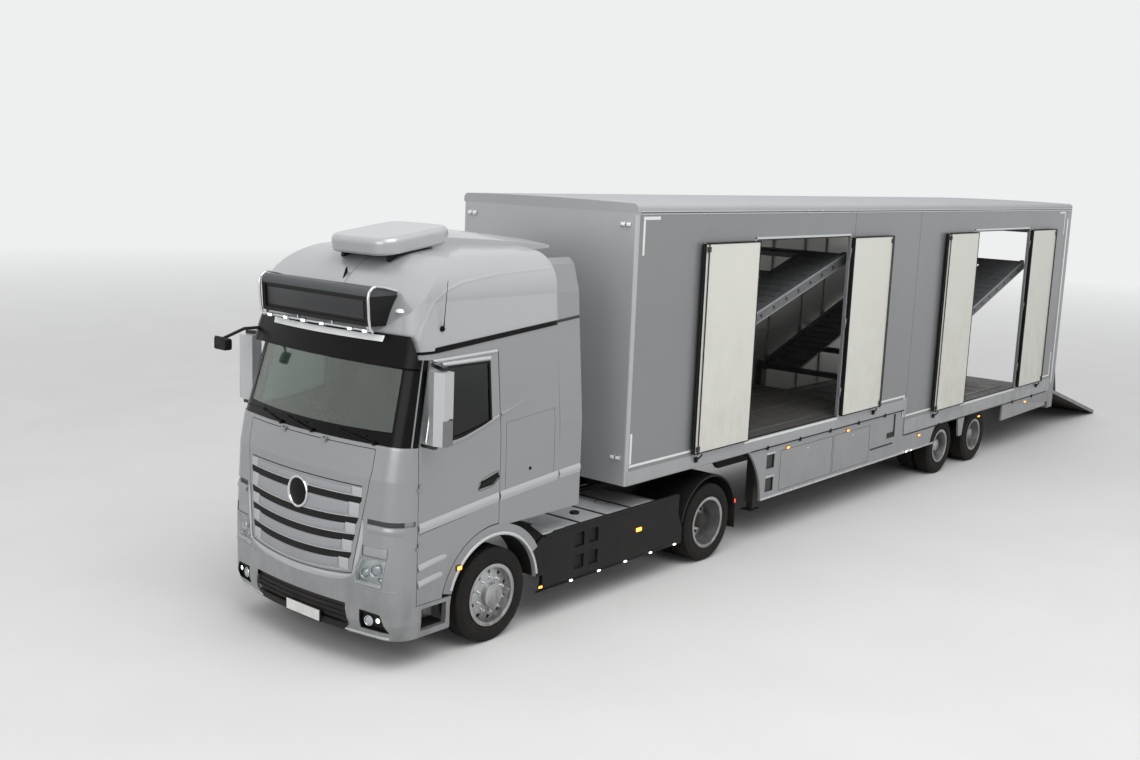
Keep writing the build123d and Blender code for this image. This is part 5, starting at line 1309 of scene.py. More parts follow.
def fit_cab_side():
    lock = begin_rod("locker_lock", on_side(1.870, 1.668, -0.004), on_side(1.870, 1.668, 0.007), 0.017, 18)
    mirrored_pair(soften(lock, 0.003), "glossy_black")
    stations = (0.452, 1.000, 1.600, 2.290)
    gutter = side_sheet("roof_gutter", gutter_line(stations, -0.026), gutter_line(stations, 0.028, 0.004), 0.011,
                        0.014, 24, 3)
    mirrored_pair(soften(gutter, 0.004), "glossy_black")
    stations = (2.308, 2.636)
    gutter = side_sheet("rear_gutter", gutter_line(stations, -0.010), gutter_line(stations, 0.018), 0.007, 0.010, 6,
                        2)
    mirrored_pair(soften(gutter, 0.003), "trim_dark")
    # The flare's inner lip takes the bright trim finish: a painted highlight for the light it catches.
    profile = ((0.6015, 0.001), (0.604, 0.009), (0.622, 0.011), (0.634, 0.002))
    lip = begin_sheet("arch_lip", 40, 5, lambda share, up: on_arch(8 + share * 154, *along_rows(profile, up)))
    mirrored_pair(right_normals(lip), "trim_silver", smooth=60)
    cap = begin_sheet("arch_cap", 10, 4, lambda share, up: on_arch(4 + share * 27, 0.602 + up * 0.108, 0.004))
    mirrored_pair(soften(give_thickness(right_normals(cap), 0.012), 0.003), "black_plastic")
    base = soft_block("arch_lamp_base", (at(0.875), -HALF_WIDTH - 0.012, 0.842),
                      (at(0.945), -HALF_WIDTH + 0.01, 0.892), 0.005)
    mirrored_pair(base, "black_plastic")
    face = soft_block("arch_lamp", (at(0.882), -HALF_WIDTH - 0.028, 0.848), (at(0.938), -HALF_WIDTH - 0.010, 0.886),
                      0.009, 3)
    mirrored_pair(face, "amber_lit")
    fit_steps()


def fit_steps():
    """A ribbed tread, a bright edge, a back plate and a screw on the entry step."""
    plate = soft_block("plate", (at(0.452), -1.196, 0.352), (at(0.812), -0.992, 0.356), 0.001)
    ribs = [station_block("rib", (x, x + 0.014), (-1.190, -0.998), (0.355, 0.362))
            for x in (0.462 + 0.0285 * n for n in range(12))]
    mirrored_pair(joined("step_tread", [plate, *ribs]), "mesh_black")
    mirrored_pair(soft_block("step_edge", (at(0.446), -1.206, 0.345), (at(0.818), -1.190, 0.3585), 0.003),
                  "trim_silver")
    back = begin_sheet("step_back", 2, 2,
                       lambda share, up: Vector((at(0.450 + share * 0.310), -0.9870, 0.365 + up * 0.205)))
    mirrored_pair(give_thickness(back, 0.003), "slat_silver")
    screw = begin_rod("step_screw", (at(0.520), -0.985, 0.500), (at(0.520), -0.996, 0.500), 0.013, 12)
    mirrored_pair(soften(screw, 0.002, 1), "black_plastic")


def pod_foot(station):
    """The height of the air pod's underside over the roof."""
    return 3.768 - 0.1405 * (1.13 - station)


CREASE = ((0.500, 3.010), (0.515, 3.120), (0.555, 3.240), (0.640, 3.360), (0.780, 3.455), (1.000, 3.520),
          (1.400, 3.565), (1.850, 3.590), (2.280, 3.600))
FROM_ABOVE = (0, 0, -1)
FROM_LEFT = (0, 1, 0)


def fit_seam():
    """A thin dark line along the middle of the roof, from its front to well under the air pod."""
    spots = []
    for station in (0.520 + 0.030 * n for n in range(17)):
        height = pod_foot(station) - 0.015 if station > 0.655 else 5.0
        spots.append(hit("cab_roof", (at(station), 0.0, height), FROM_ABOVE))

    def place(share, up):
        spot, normal = spots[round(share * (len(spots) - 1))]
        return spot + Vector((0, (0.5 - up) * 0.006, 0)) + normal * 0.0007

    seam = begin_sheet("roof_seam", len(spots) - 1, 1, place)
    dress(right_normals(seam), "trim_shadow")


def fit_roof():
    fit_seam()

    def crease_place(share, up):
        station, height = along_rows(CREASE, share)
        rise, out = along_rows(((-0.020, 0.0), (-0.008, 0.005), (0.006, 0.005), (0.022, 0.0)), up)
        ahead = along_rows(CREASE, min(share + 0.02, 1.0))
        behind = along_rows(CREASE, max(share - 0.02, 0.0))
        run = Vector((ahead[0] - behind[0], ahead[1] - behind[1])).normalized()
        spot, normal = hit("cab_roof", (at(station - run.y * rise), -3.0, height + run.x * rise), FROM_LEFT)
        return spot + normal * (out - 0.0008)

    crease = begin_sheet("roof_crease", 48, 5, crease_place)
    mirrored_pair(right_normals(crease), "roof_paint", smooth=70)

    spot, normal = hit("cab_roof", (at(0.720), -3.0, 3.120), FROM_LEFT)
    base = begin_rod("antenna_foot", spot + normal * -0.004, spot + normal * 0.016, 0.026, 20)
    ball = begin_rod("antenna_ball", spot + normal * 0.010, spot + normal * 0.030, 0.016, 16)
    foot = spot + normal * 0.022
    whip = begin_rod("antenna_whip", foot, foot + Vector((0.030, -0.010, 0.430)), 0.0045, 10, 0.0022)
    collar = begin_rod("antenna_collar", foot, foot + Vector((0.0035, -0.001, 0.050)), 0.0075, 12, 0.0055)
    dress(joined("roof_antenna", [soften(base, 0.006), soften(ball, 0.007, 3), whip, collar]), "glossy_black")

    spot = hit("cab_roof", (at(0.610), 0.055, 5.0), FROM_ABOVE)[0]
    outline = [(spot.x + ahead, 0.055, spot.z + rise)
               for ahead, rise in ((-0.030, -0.045), (0.035, 0.020), (0.030, 0.085), (0.012, 0.070))]
    fin = give_thickness(extrude_outline("roof_fin", outline, (0, 0.012, 0)), 0.0001)
    dress(soften(fin, 0.003), "glossy_black")

    front = hit("cab_roof", (at(-1.0), -0.900, 3.075), (1, 0, 0))[0]
    top = hit("cab_roof", (front.x + 0.030, -0.900, 5.0), FROM_ABOVE)[0]
    dome = turned("corner_dome", [(0.0, 0.030), (0.020, 0.027), (0.034, 0.016), (0.038, 0.0), (0.0, 0.0)], 24, "Z")
    dome.data.transform(Matrix.Translation((top.x, -0.900, top.z - 0.006)) @ Matrix.Diagonal((1.0, 1.35, 1.0, 1)))
    mirrored_pair(dome, "bright_trim")


MIRROR_RIM = (
    # places across, heights
    ((-1.486, -1.304), (2.760, 2.774)), ((-1.486, -1.304), (2.312, 2.324)), ((-1.486, -1.304), (2.138, 2.152)),
    ((-1.488, -1.479), (2.138, 2.774)), ((-1.311, -1.302), (2.138, 2.774)),
)


def fit_mirrors():
    for name, rows, low, tall in (("mirror_face", 6, 2.330, 0.430), ("wide_mirror_face", 4, 2.155, 0.150)):
        glass = begin_sheet(name, 4, rows,
                            lambda share, up: Vector((at(0.5615), -1.478 + share * 0.166, low + up * tall)))
        mirrored_pair(give_thickness(right_normals(glass), 0.003), "mirror_glass", DOORS)
    rim = [station_block("rim", (0.556, 0.566), across, heights) for across, heights in MIRROR_RIM]
    mirrored_pair(joined("mirror_rim", rim), "rubber_seal", DOORS)
    joint = begin_block("mirror_joint", (at(0.505), -1.5, 2.362), (at(0.555), -1.4935, 2.372))
    mirrored_pair(soften(joint, 0.001, 1), "trim_dark", DOORS)
    path = [(at(0.430), 1.060, 2.905), (at(0.250), 1.150, 2.892), (at(0.075), 1.240, 2.800)]
    head = soft_block("kerb_head", (at(0.004), 1.130, 2.690), (at(0.102), 1.320, 2.805), 0.022, 3)
    move_faces(head, lambda centre, normal: normal.x < -0.95, (0.010, 0.0, 0.030))
    dress(joined("kerb_mirror", [bent_tube("kerb_arm", path, 0.016, 3), head]), "black_plastic")


# Chassis of the tractor

def fit_walkway():
    """The walkway's chequered plates and bands, a filler cap, a round hole, and the skirt's bar, edge and seams."""
    pitch = (3.990 + 0.040 - 2.300) / 4
    plates = []
    for x in (2.300 + number * pitch for number in range(4)):
        plates.append(station_block("plate", (x + 0.004, x + pitch - 0.052), (0.440, 1.205), (0.938, 0.9425)))
    bands = []
    for x in (2.300 + number * pitch for number in (1, 2, 3)):
        bands.append(station_block("band", (x - 0.046, x - 0.002), (0.440, 1.205), (0.936, 0.9405)))
    mirrored_pair(joined("walkway_bands", bands), "black_plastic")
    tops = joined("walkway_tops_right", plates)
    far = copy_piece(tops, "walkway_tops_left", other_side=True)
    dress(tops, "chequer_plate")
    dress(far, "chequer_plate")
    points = [(at(x), y, 0.931) for x, y in ((2.110, -1.236), (2.470, -1.236), (2.470, -1.196), (2.300, -0.930),
                                             (2.262, -0.930))]
    start = soften(extrude_outline("walkway_start", points, (0, 0, 0.009)), 0.002, 1)
    mirrored_pair(start, "chequer_plate")
    cap = begin_rod("filler_cap", (at(2.930), -0.960, 0.938), (at(2.930), -0.960, 0.966), 0.052, 28)
    inset_faces(cap, lambda centre, normal: normal.z > 0.9, 0.012, -0.006)
    dress(soften(cap, 0.004), "black_plastic")
    # The round hole is a black disc with a sunk face: painted shade for its inside.
    hatch = begin_rod("walkway_hole", (at(3.500), -0.870, 0.9400), (at(3.500), -0.870, 0.9440), 0.085, 32)
    inset_faces(hatch, lambda centre, normal: normal.z > 0.9, 0.014, -0.002)
    dress(hatch, "black_plastic")
    path = [(at(2.150), -1.228, 0.905), (at(2.290), -1.232, 0.927), (at(4.420), -1.232, 0.927),
            (at(4.470), -1.228, 0.905)]
    mirrored_pair(bent_tube("skirt_top_bar", path, 0.017, 3), "black_plastic", smooth=60)
    mirrored_pair(soft_block("skirt_edge", (at(2.030), -1.2385, 0.338), (at(4.550), -1.2345, 0.362), 0.0015),
                  "glossy_black")
    seams = [begin_block("seam", (at(x), -1.2362, 0.345), (at(x + 0.006), -1.2345, 0.925)) for x in (2.560, 3.420)]
    mirrored_pair(soften(joined("skirt_seams", seams), 0.0005, 1), "mesh_black")


def small_lamp(name, centre, size, finish, body):
    """A small oblong lamp with its base, flat on each side of the vehicle."""
    x, y, z = centre
    half, high, deep = size
    base = soft_block(f"{name}_base", (x - half - 0.006, y + 0.004, z - high - 0.006),
                      (x + half + 0.006, y - 0.006, z + high + 0.006), 0.003)
    mirrored_pair(base, "black_plastic", body)
    face = soft_block(name, (x - half, y - 0.004, z - high), (x + half, y - deep, z + high), min(high, deep) * 0.6, 3)
    mirrored_pair(face, finish, body)


SIDE_LAMPS = (
    # name, station, across, height, size, finish
    *((f"skirt_lamp_{number}", x, -1.2375, 0.352, (0.022, 0.010, 0.020), "white_lit")
      for number, x in enumerate((2.570, 3.030, 3.490, 3.950, 4.410), 1)),
    ("skirt_marker_front", 2.090, -1.2375, 0.392, (0.026, 0.012, 0.020), "amber_lit"),
    ("skirt_marker", 3.710, -1.2355, 0.670, (0.046, 0.022, 0.024), "amber_lit"),
    ("fender_lamp", 5.655, -1.2100, 0.640, (0.006, 0.022, 0.040), "red_lit"),
)


def fit_side_lamps():
    for name, x, y, z, size, finish in SIDE_LAMPS:
        small_lamp(name, (at(x), y, z), size, finish, "tractor")
    for label, side in SIDES:
        y, rail_y = side * 0.760, side * 0.380
        parts = [
            station_block("plate", (5.862, 5.880), (y - 0.170, y + 0.170), (0.700, 0.830), 0.006, 3),
            station_block("stay", (5.700, 5.868), (rail_y - 0.020, rail_y + 0.020), (0.745, 0.785), 0.004, 2),
            station_block("cross", (5.850, 5.866), (rail_y, y), (0.750, 0.780), 0.003, 2),
        ]
        dress(joined(f"tail_lamp_plate_{label}", parts), "black_plastic")
        for number, (shift, finish) in enumerate(((-0.105, "red_lens_and_tape_glow"), (0.0, "amber_lens"), (0.105, "red_lens_and_tape_glow"))):
            ring, face = disc_lamp(f"tail_lamp_{label}_{number}", (at(5.884), y + shift, 0.765), 0.046, 0.010,
                                   (1, 0, 0))
            dress(ring, "chrome")
            dress(face, finish)


def fit_chassis():
    fit_walkway()
    fit_side_lamps()
    for label, side in SIDES:
        outer = side * 0.415
        heads = [begin_rod("bolt", (at(x), outer, height), (at(x), outer + side * 0.010, height), 0.013, 6)
                 for x in (2.600, 3.000, 3.400, 3.800, 4.200, 4.700, 5.250, 5.600) for height in (0.760, 0.900)]
        dress(joined(f"rail_bolts_{label}", heads), "forged_steel")
        feet = [centred_block("foot", (at(x), side * 0.330, pod_foot(x) - 0.042), (0.050, 0.028, 0.038), 0.008)
                for x in (0.855, 1.405)]
        dress(joined(f"pod_feet_{label}", feet), "black_plastic")


# Trailer

WALL = -TRAILER_HALF_WIDTH
STEP_PLACE = 6.76
OPENINGS = ((2.340, 4.660, 1.383), (8.750, 11.030, 1.068))
LEAVES = (
    # body, front and rear edge along the trailer, sill, and which way the leaf runs from its free edge
    ("side_door_1", 1.186, 2.334, 1.383, 1),
    ("side_door_2", 4.666, 5.814, 1.383, -1),
    ("side_door_3", 7.616, 8.744, 1.068, 1),
    ("side_door_4", 11.036, 12.164, 1.068, -1),
)
TAPE = 0.034
NARROW_TAPE = TAPE * 0.8
TAPES = (
    # name, front and rear edge along the trailer, low and high edge
    ("tape_top_front", 0.105, 0.400, 4.072, 4.072 + TAPE),
    ("tape_front_upright", 0.105, 0.105 + TAPE, 3.700, 4.070),
    ("tape_low_upright", 0.050, 0.050 + TAPE, 1.452, 1.790),
    ("tape_low_front", 0.050, 2.300, 1.416, 1.416 + NARROW_TAPE),
    ("tape_low_middle", 4.700, 6.700, 1.416, 1.416 + NARROW_TAPE),
    ("tape_step", 6.700 - NARROW_TAPE, 6.700, 1.110, 1.414),
    ("tape_low_rear", 6.702, 8.712, 1.110, 1.110 + NARROW_TAPE),
    ("tape_low_tail", 11.068, 12.690, 1.110, 1.110 + NARROW_TAPE),
    ("tape_rear_upright", 12.690 - TAPE, 12.690, 1.140, 1.560),
    ("tape_top_rear", 12.400, 12.695, 4.072, 4.072 + TAPE),
    ("tape_rear_top_upright", 12.695 - TAPE, 12.695, 3.700, 4.070),
)
WALL_RAILS = (
    # the same, how far out of the wall it stands, softening, finish
    ("front_sill_rail", 0.020, 6.752, 1.222, 1.376, 0.005, 0.002, "rail_silver"),
    ("rear_sill_rail", 6.768, 12.740, 0.836, 1.061, 0.005, 0.002, "rail_silver"),
    ("step_post", 6.712, 6.770, 1.100, 1.396, 0.0065, 0.002, "rail_silver"),
    ("front_gap_line", 2.520, 6.760, 1.208, 1.224, 0.006, 0.0006, "rubber_seal"),
    ("rear_gap_line", 6.765, 12.600, 0.820, 0.836, 0.006, 0.0006, "rubber_seal"),
    ("roof_rail_low", 0.050, 12.990, 4.128, 4.139, 0.005, 0.0006, "trim_silver"),
    ("roof_rail_high", 0.050, 12.990, 4.152, 4.162, 0.004, 0.0006, "trim_silver"),
    ("roof_rail_gap", 0.050, 12.990, 4.139, 4.152, 0.0015, 0.0006, "trim_shadow"),
    ("wall_joint", 4.766, 4.773, 1.400, 4.127, 0.0008, 0.0006, "trim_shadow"),
    ("wall_joint_mid", 6.757, 6.763, 1.400, 4.127, 0.0008, 0.0006, "trim_shadow"),
)


def wall_block(name, places, depths, heights, edge=0.003, segments=2):
    """A block on the near wall, from places along the trailer, depths into the wall's face, and heights."""
    low, high = ((along(place), WALL + depth, height) for place, depth, height in zip(places, depths, heights))
    return soft_block(name, low, high, edge, segments)


def wall_blocks(name, depths, spans, edge=0.003, segments=2):
    """Blocks of one depth on the near wall, joined. Each span is its places along the trailer, and its heights."""
    return joined(name, [wall_block("part", places, depths, heights, edge, segments) for places, heights in spans])


def wall_spot(place, out, height):
    """A point so far out of the near wall."""
    return along(place), WALL - out, height


def wall_strip(name, front, rear, low, high, out=0.0016, soft=0.0006):
    return wall_block(name, (front, rear), (-out, 0.001), (low, high), soft, 1)


def fit_tapes():
    for tape in TAPES:
        mirrored_pair(wall_strip(*tape), "reflective_white", "trailer")
    for number, (front, rear, sill) in enumerate(OPENINGS, 1):
        strip = wall_strip(f"tape_sill_{number}", front + 0.004, rear - 0.004, sill - 0.036, sill - 0.010, 0.0062)
        dress(strip, "reflective_white", "trailer")


def fit_wall_rails():
    for *rail, finish in WALL_RAILS:
        mirrored_pair(wall_strip(*rail), finish, "trailer")
    for number, place in enumerate((2.900, 3.700, 4.500, 5.300, 6.100, 8.000, 11.000, 11.900), 1):
        height = 1.216 if place < STEP_PLACE else 0.828
        catch = wall_block("catch", (place - 0.018, place + 0.018), (-0.014, 0.002), (height - 0.030, height + 0.024),
                           0.004)
        knob = begin_rod("knob", wall_spot(place, 0.010, height + 0.004), wall_spot(place, 0.022, height + 0.004),
                         0.009, 12)
        mirrored_pair(joined(f"skirt_catch_{number}", [catch, knob]), "black_plastic", "trailer")


def fit_corner_lamps():
    """Bright double marker lamps on the front wall, and small lamps along the sides."""
    x = along(-0.004)
    for height, row in ((4.020, "top"), (1.520, "low")):
        for label, side in SIDES:
            for number, y in enumerate((side * 1.090, side * 1.165)):
                name = f"front_marker_{label}_{number}_{row}"
                shell = centred_block(f"{name}_shell", (x - 0.005, y, height), (0.011, 0.030, 0.026), 0.007, 3)
                face = centred_block(name, (x - 0.018, y, height), (0.008, 0.020, 0.016), 0.006, 3)
                dress(shell, "chrome", "trailer")
                dress(face, "bright_trim", "trailer")
    for number, place in enumerate((3.400, 5.000, 7.300, 9.560, 11.600), 1):
        height = 1.190 if place < STEP_PLACE else 0.800
        small_lamp(f"side_marker_{number}", wall_spot(place, -0.006, height - 0.045), (0.030, 0.012, 0.022),
                   "amber_lit", "trailer")
    for number, place in enumerate((6.900, 7.060), 1):
        small_lamp(f"low_lamp_{number}", wall_spot(place, -0.006, 0.560), (0.020, 0.010, 0.020), "white_lit",
                   "trailer")


LEAF_DEPTH = 0.064
OPENING_TOP = 3.808


def fit_leaf(body, front, rear, sill, inward):
    """The seals and the lock rod of one folded leaf, and its holder and buffers on the wall."""
    low, high = sill + 0.012, OPENING_TOP
    spans = (((front, front + 0.016), (low, high)), ((rear - 0.016, rear), (low, high)),
             ((front, rear), (low, low + 0.014)), ((front, rear), (high - 0.014, high)))
    dress(wall_blocks(f"{body}_seal", (-LEAF_DEPTH - 0.005, -LEAF_DEPTH + 0.044), spans), "rubber_seal", body)
    edge = front if inward > 0 else rear
    path = [wall_spot(edge - inward * 0.004, LEAF_DEPTH - 0.018, height) for height in (low + 0.02, high - 0.02)]
    dress(bent_tube(f"{body}_bulb", path, 0.014, 3), "rubber_seal", body, 60)
    middle = edge + inward * 0.060
    parts = [wall_block("keep", (middle - 0.035, middle + 0.035), (-LEAF_DEPTH - 0.016, -LEAF_DEPTH - 0.002),
                        (height, height + 0.060), 0.004) for height in (low + 0.030, high - 0.100)]
    parts.append(begin_rod("rod", wall_spot(middle, LEAF_DEPTH + 0.012, low - 0.006),
                           wall_spot(middle, LEAF_DEPTH + 0.012, high), 0.0075, 12))
    dress(joined(f"{body}_lock_rod", parts), "chassis_steel", body)
    stay = edge + inward * 0.120
    foot = wall_block("foot", (stay - 0.024, stay + 0.024), (-0.030, -0.002), (sill - 0.100, sill - 0.040), 0.005)
    path = [wall_spot(stay, 0.024, sill - 0.065), wall_spot(stay + inward * 0.02, 0.060, sill - 0.030),
            wall_spot(stay + inward * 0.03, 0.075, sill + 0.004)]
    dress(joined(f"{body}_holder", [foot, bent_tube("hook", path, 0.009, 3)]), "black_plastic", "trailer")
    for number, shift in enumerate((-0.25, 0.25), 1):
        place = (front + rear) / 2 + shift
        buffer = wall_block(f"{body}_buffer_{number}", (place - 0.020, place + 0.020), (-0.020, -0.001), (2.5, 2.54),
                            0.004)
        dress(buffer, "rubber_seal", "trailer")


def fit_openings():
    """A bright edge, seals and a sill plate for each way in."""
    for number, (front, rear, sill) in enumerate(OPENINGS, 1):
        spans = (((front - 0.030, front - 0.004), (sill - 0.004, 3.850)),
                 ((rear + 0.004, rear + 0.030), (sill - 0.004, 3.850)),
                 ((front - 0.030, rear + 0.030), (3.824, 3.850)))
        edges = wall_blocks(f"opening_edge_{number}", (-0.0045, 0.001), spans, 0.0015, 1)
        dress(edges, "trim_silver", "trailer")
        inner = (front + 0.001, rear - 0.001)
        spans = ((inner, (sill - 0.002, sill + 0.010)), (inner, (OPENING_TOP, 3.822)))
        dress(wall_blocks(f"opening_seal_{number}", (0.006, 0.030), spans), "rubber_seal", "trailer")
        plate = wall_block(f"sill_plate_{number}", (front + 0.01, rear - 0.01), (-0.002, 0.062),
                           (sill - 0.040, sill - 0.003))
        dress(plate, "chequer_plate", "trailer")


def fit_hatches():
    for number, low in enumerate((0.632, 0.932), 1):
        floor = begin_block(f"hatch_floor_{number}", (along(2.920), WALL + 0.0335, low + 0.005),
                            (along(3.100), WALL + 0.0365, low + 0.187))
        inset_faces(floor, lambda centre, normal: normal.y < -0.9, 0.014, -0.001)
        mirrored_pair(floor, "mesh_black", "trailer")
        mirrored_pair(wall_block(f"hatch_top_{number}", (2.905, 3.115), (0.001, 0.012), (low + 0.182, low + 0.206)),
                      "trim_silver", "trailer")
    spans = (((6.425, 6.475), (0.850, 1.190)), ((6.230, 6.475), (0.850, 0.930)), ((5.730, 6.440), (0.745, 0.768)))
    dress(wall_blocks("winch_slot", (0.004, 0.012), spans, 0.003, 1), "mesh_black", "trailer")
    for number, (front, rear) in enumerate(((3.250, 4.600), (4.640, 5.680)), 1):
        spans = (((front, rear), (0.600, 0.606)), ((front, rear), (1.120, 1.126)),
                 ((front, front + 0.006), (0.600, 1.126)), ((rear, rear + 0.006), (0.600, 1.126)))
        lines = wall_blocks(f"locker_lines_{number}", (0.0075, 0.010), spans, 0.0005, 1)
        mirrored_pair(lines, "trim_shadow", "trailer")
        middle = (front + rear) / 2
        lock = begin_rod(f"locker_lock_{number}", wall_spot(middle, -0.010, 1.060), wall_spot(middle, 0.002, 1.060),
                         0.018, 16)
        mirrored_pair(soften(lock, 0.003), "chrome", "trailer")
    mirrored_pair(wall_block("skirt_foot", (2.830, 7.880), (0.006, 0.020), (0.538, 0.566)), "trim_silver", "trailer")


def fit_tail():
    """The posts' light strips and lamp groups, the header's marker lamps and the bumper's plate."""
    rear = along(TRAILER_LENGTH)
    strip = soft_block("post_strip", (rear - 0.190, WALL - 0.0035, 0.960), (rear - 0.150, WALL + 0.001, 3.980), 0.0015)
    mirrored_pair(strip, "bright_trim", "trailer")
    seam = begin_block("post_seam", (rear - 0.2525, WALL - 0.001, 0.640), (rear - 0.2475, WALL + 0.001, 4.125))
    mirrored_pair(soften(seam, 0.0003, 1), "trim_shadow", "trailer")
    mirrored_pair(soft_block("tail_case", (rear - 0.002, -1.262, 1.020), (rear + 0.013, -1.152, 1.520), 0.005, 3),
                  "black_plastic", "trailer")
    for number, (height, finish) in enumerate(((1.085, "white_lit"), (1.185, "amber_lens"), (1.290, "red_lens_and_tape_glow"),
                                               (1.410, "red_lens_and_tape_glow"))):
        fit_disc_lamp(f"rear_lamp_{number}", (rear + 0.012, -1.207, height), 0.044, 0.007, (1, 0, 0), finish,
                      "trailer")
    for number, y in enumerate((-1.150, -0.120, 0.0, 0.120, 1.150)):
        base = centred_block(f"header_lamp_base_{number}", (rear + 0.004, y, 4.055), (0.006, 0.055, 0.025), 0.004)
        face = centred_block(f"header_lamp_{number}", (rear + 0.013, y, 4.055), (0.007, 0.044, 0.017), 0.006, 3)
        dress(base, "black_plastic", "trailer")
        dress(face, "red_lens_and_tape_glow", "trailer")
    # The red tapes take the red lens glow: a painted glow, since tape is no lamp.
    tapes = [soft_block("tape", (rear - 0.001, left, low), (rear + 0.0015, right, high), 0.0005, 1)
             for left, right, low, high in ((-1.158, -1.122, 1.620, 3.640), (1.122, 1.158, 1.620, 3.640),
                                            (-1.120, 1.120, 3.700, 3.734))]
    dress(joined("rear_tapes", tapes), "red_lens_and_tape_glow", "trailer")
    plate = begin_block("rear_plate", (rear + 0.001, -0.260, 0.672), (rear + 0.005, 0.260, 0.742))
    inset_faces(plate, lambda centre, normal: normal.x > 0.9, 0.005, -0.0006)
    dress(soften(plate, 0.0008, 1), "bare_plate", "trailer")


FLOOR_HEIGHT = 1.375
FLOOR_DROP = 0.315
TRACK_SPANS = ((0.10, 5.98, 1.375), (7.25, 11.05, 1.060))
BAR_STEP = 0.45


def fit_inside():
    """Posts and rails on the inner wall of the far side, and tracks and bars on the floor."""
    inner = TRAILER_HALF_WIDTH - 0.040
    posts = []
    for place in (0.90, 1.85, 2.20, 4.80, 5.80, 6.90, 7.90, 8.62, 11.15, 12.20):
        floor = FLOOR_HEIGHT - max(0.0, min(1.0, (place - 6.0) / 1.2)) * FLOOR_DROP
        posts.append(soft_block("post", (along(place) - 0.030, inner - 0.022, floor + 0.01),
                                (along(place) + 0.030, inner + 0.002, 4.125), 0.004, 1))
    for height in (2.100, 2.900):
        posts.append(soft_block("rail", (along(0.10), inner - 0.014, height),
                                (along(12.80), inner + 0.002, height + 0.050), 0.003, 1))
    dress(joined("inner_frame_right", posts), "inner_white", "trailer")
    for number, (front, rear, top) in enumerate(TRACK_SPANS, 1):
        tracks = []
        for side in OUTWARD:
            for y in (side * 0.330, side * 1.010):
                tracks.append(soft_block("track", (along(front), y - 0.020, top - 0.002),
                                         (along(rear), y + 0.020, top + 0.012), 0.003, 1))
            for step in range(int((rear - front) / BAR_STEP)):
                x = along(front + 0.2 + step * BAR_STEP)
                tracks.append(centred_block("bar", (x, side * 0.670, top + 0.003), (0.014, 0.300, 0.005), 0.002, 1))
        dress(joined(f"floor_tracks_{number}", tracks), "deck_grey", "trailer")


def dress_turned(name, parts, turn, finish, body):
    """Parts that are modelled level at the origin, joined and turned to where their body stands."""
    piece = joined(name, parts)
    piece.data.transform(turn)
    dress(piece, finish, body)


def fit_deck(body, pivot, height, rise, length):
    """Rungs along both wheel tracks, a bright edge strip and a row of holes in each side beam."""
    turn = Matrix.Translation((along(pivot), 0.0, height)) @ Matrix.Rotation(radians(-rise), 4, "Y")
    rungs = [centred_block("rung", (0.06 + step * 0.20, side * 0.750, 0.0545), (0.012, 0.300, 0.0055), 0.002, 1)
             for step in range(int(length / 0.20)) for side in OUTWARD]
    dress_turned(f"{body}_rungs", rungs, turn, "deck_grey", body)
    edging = [soft_block("strip", (-0.05, side * 1.121 - 0.002, low), (length - 0.01, side * 1.121 + 0.002, high),
                         0.0015, 1) for side in OUTWARD for low, high in ((0.048, 0.072), (-0.073, -0.060))]
    edging.append(soft_block("nose", (length - 0.004, -1.115, -0.050), (length + 0.006, 1.115, 0.052), 0.003, 1))
    dress_turned(f"{body}_edging", edging, turn, "post_silver", body)
    # The holes are black discs on the side beams: painted shade for their dark insides.
    holes = [begin_rod("hole", (0.16 + step * 0.30, side * 1.119, -0.005),
                       (0.16 + step * 0.30, side * 1.1215, -0.005), 0.024, 16)
             for step in range(int(length / 0.30)) for side in OUTWARD]
    dress_turned(f"{body}_holes", holes, turn, "mesh_black", body)


RAMP_LENGTH = 2.82
RAMP_DEPTH = 0.07
RAMP_HEIGHT = 0.83


def fit_ramp():
    """Rubber-faced tracks, cleats and bright edges on the tail ramp."""
    reach = (RAMP_LENGTH ** 2 + RAMP_DEPTH ** 2) ** 0.5
    angle = asin(RAMP_HEIGHT / reach) - asin(RAMP_DEPTH / reach)
    turn = Matrix.Translation((along(13.032), 0.0, RAMP_HEIGHT)) @ Matrix.Rotation(angle, 4, "Y")
    cleats = [centred_block("cleat", (0.24 + step * 0.195, side * 0.750, 0.0055), (0.010, 0.290, 0.0065), 0.002, 1)
              for step in range(13) for side in OUTWARD]
    dress_turned("ramp_cleats", cleats, turn, "deck_grey", "rear_ramp")
    mats = [centred_block("mat", (1.47, side * 0.750, 0.0015), (1.31, 0.310, 0.0025), 0.0015, 1)
            for side in OUTWARD]
    dress_turned("ramp_mats", mats, turn, "mesh_black", "rear_ramp")
    edges = [soft_block("edge", (0.08, side * 1.199 - 0.003, -0.060), (2.79, side * 1.199 + 0.001, -0.006), 0.002, 1)
             for side in OUTWARD]
    edges.append(soft_block("edge", (2.74, -1.150, -0.001), (2.815, 1.150, 0.004), 0.0015, 1))
    dress_turned("ramp_edges", edges, turn, "post_silver", "rear_ramp")


# The studio: a pale floor, soft light, and the camera of the picture

BACKDROP = (0.86, 0.865, 0.87, 1.0)
PANELS = (
    # name, place, what it looks at, size, power
    ("sky_panel", (-8.0, -10.0, 18.0), (0.0, 0.0, 1.0), 16.0, 2300.0),
    ("front_panel", (-26.0, -3.0, 9.0), (-8.0, 0.0, 2.6), 12.0, 900.0),
)


def backdrop_rays(tree):
    """One for the rays that show the backdrop: the camera's own, reflections, and those through glass."""
    path = add_node(tree, "ShaderNodeLightPath")
    seen = plus(tree, path.outputs["Is Camera Ray"], path.outputs["Is Glossy Ray"])
    return plus(tree, seen, path.outputs["Is Transmission Ray"], clamp=True)


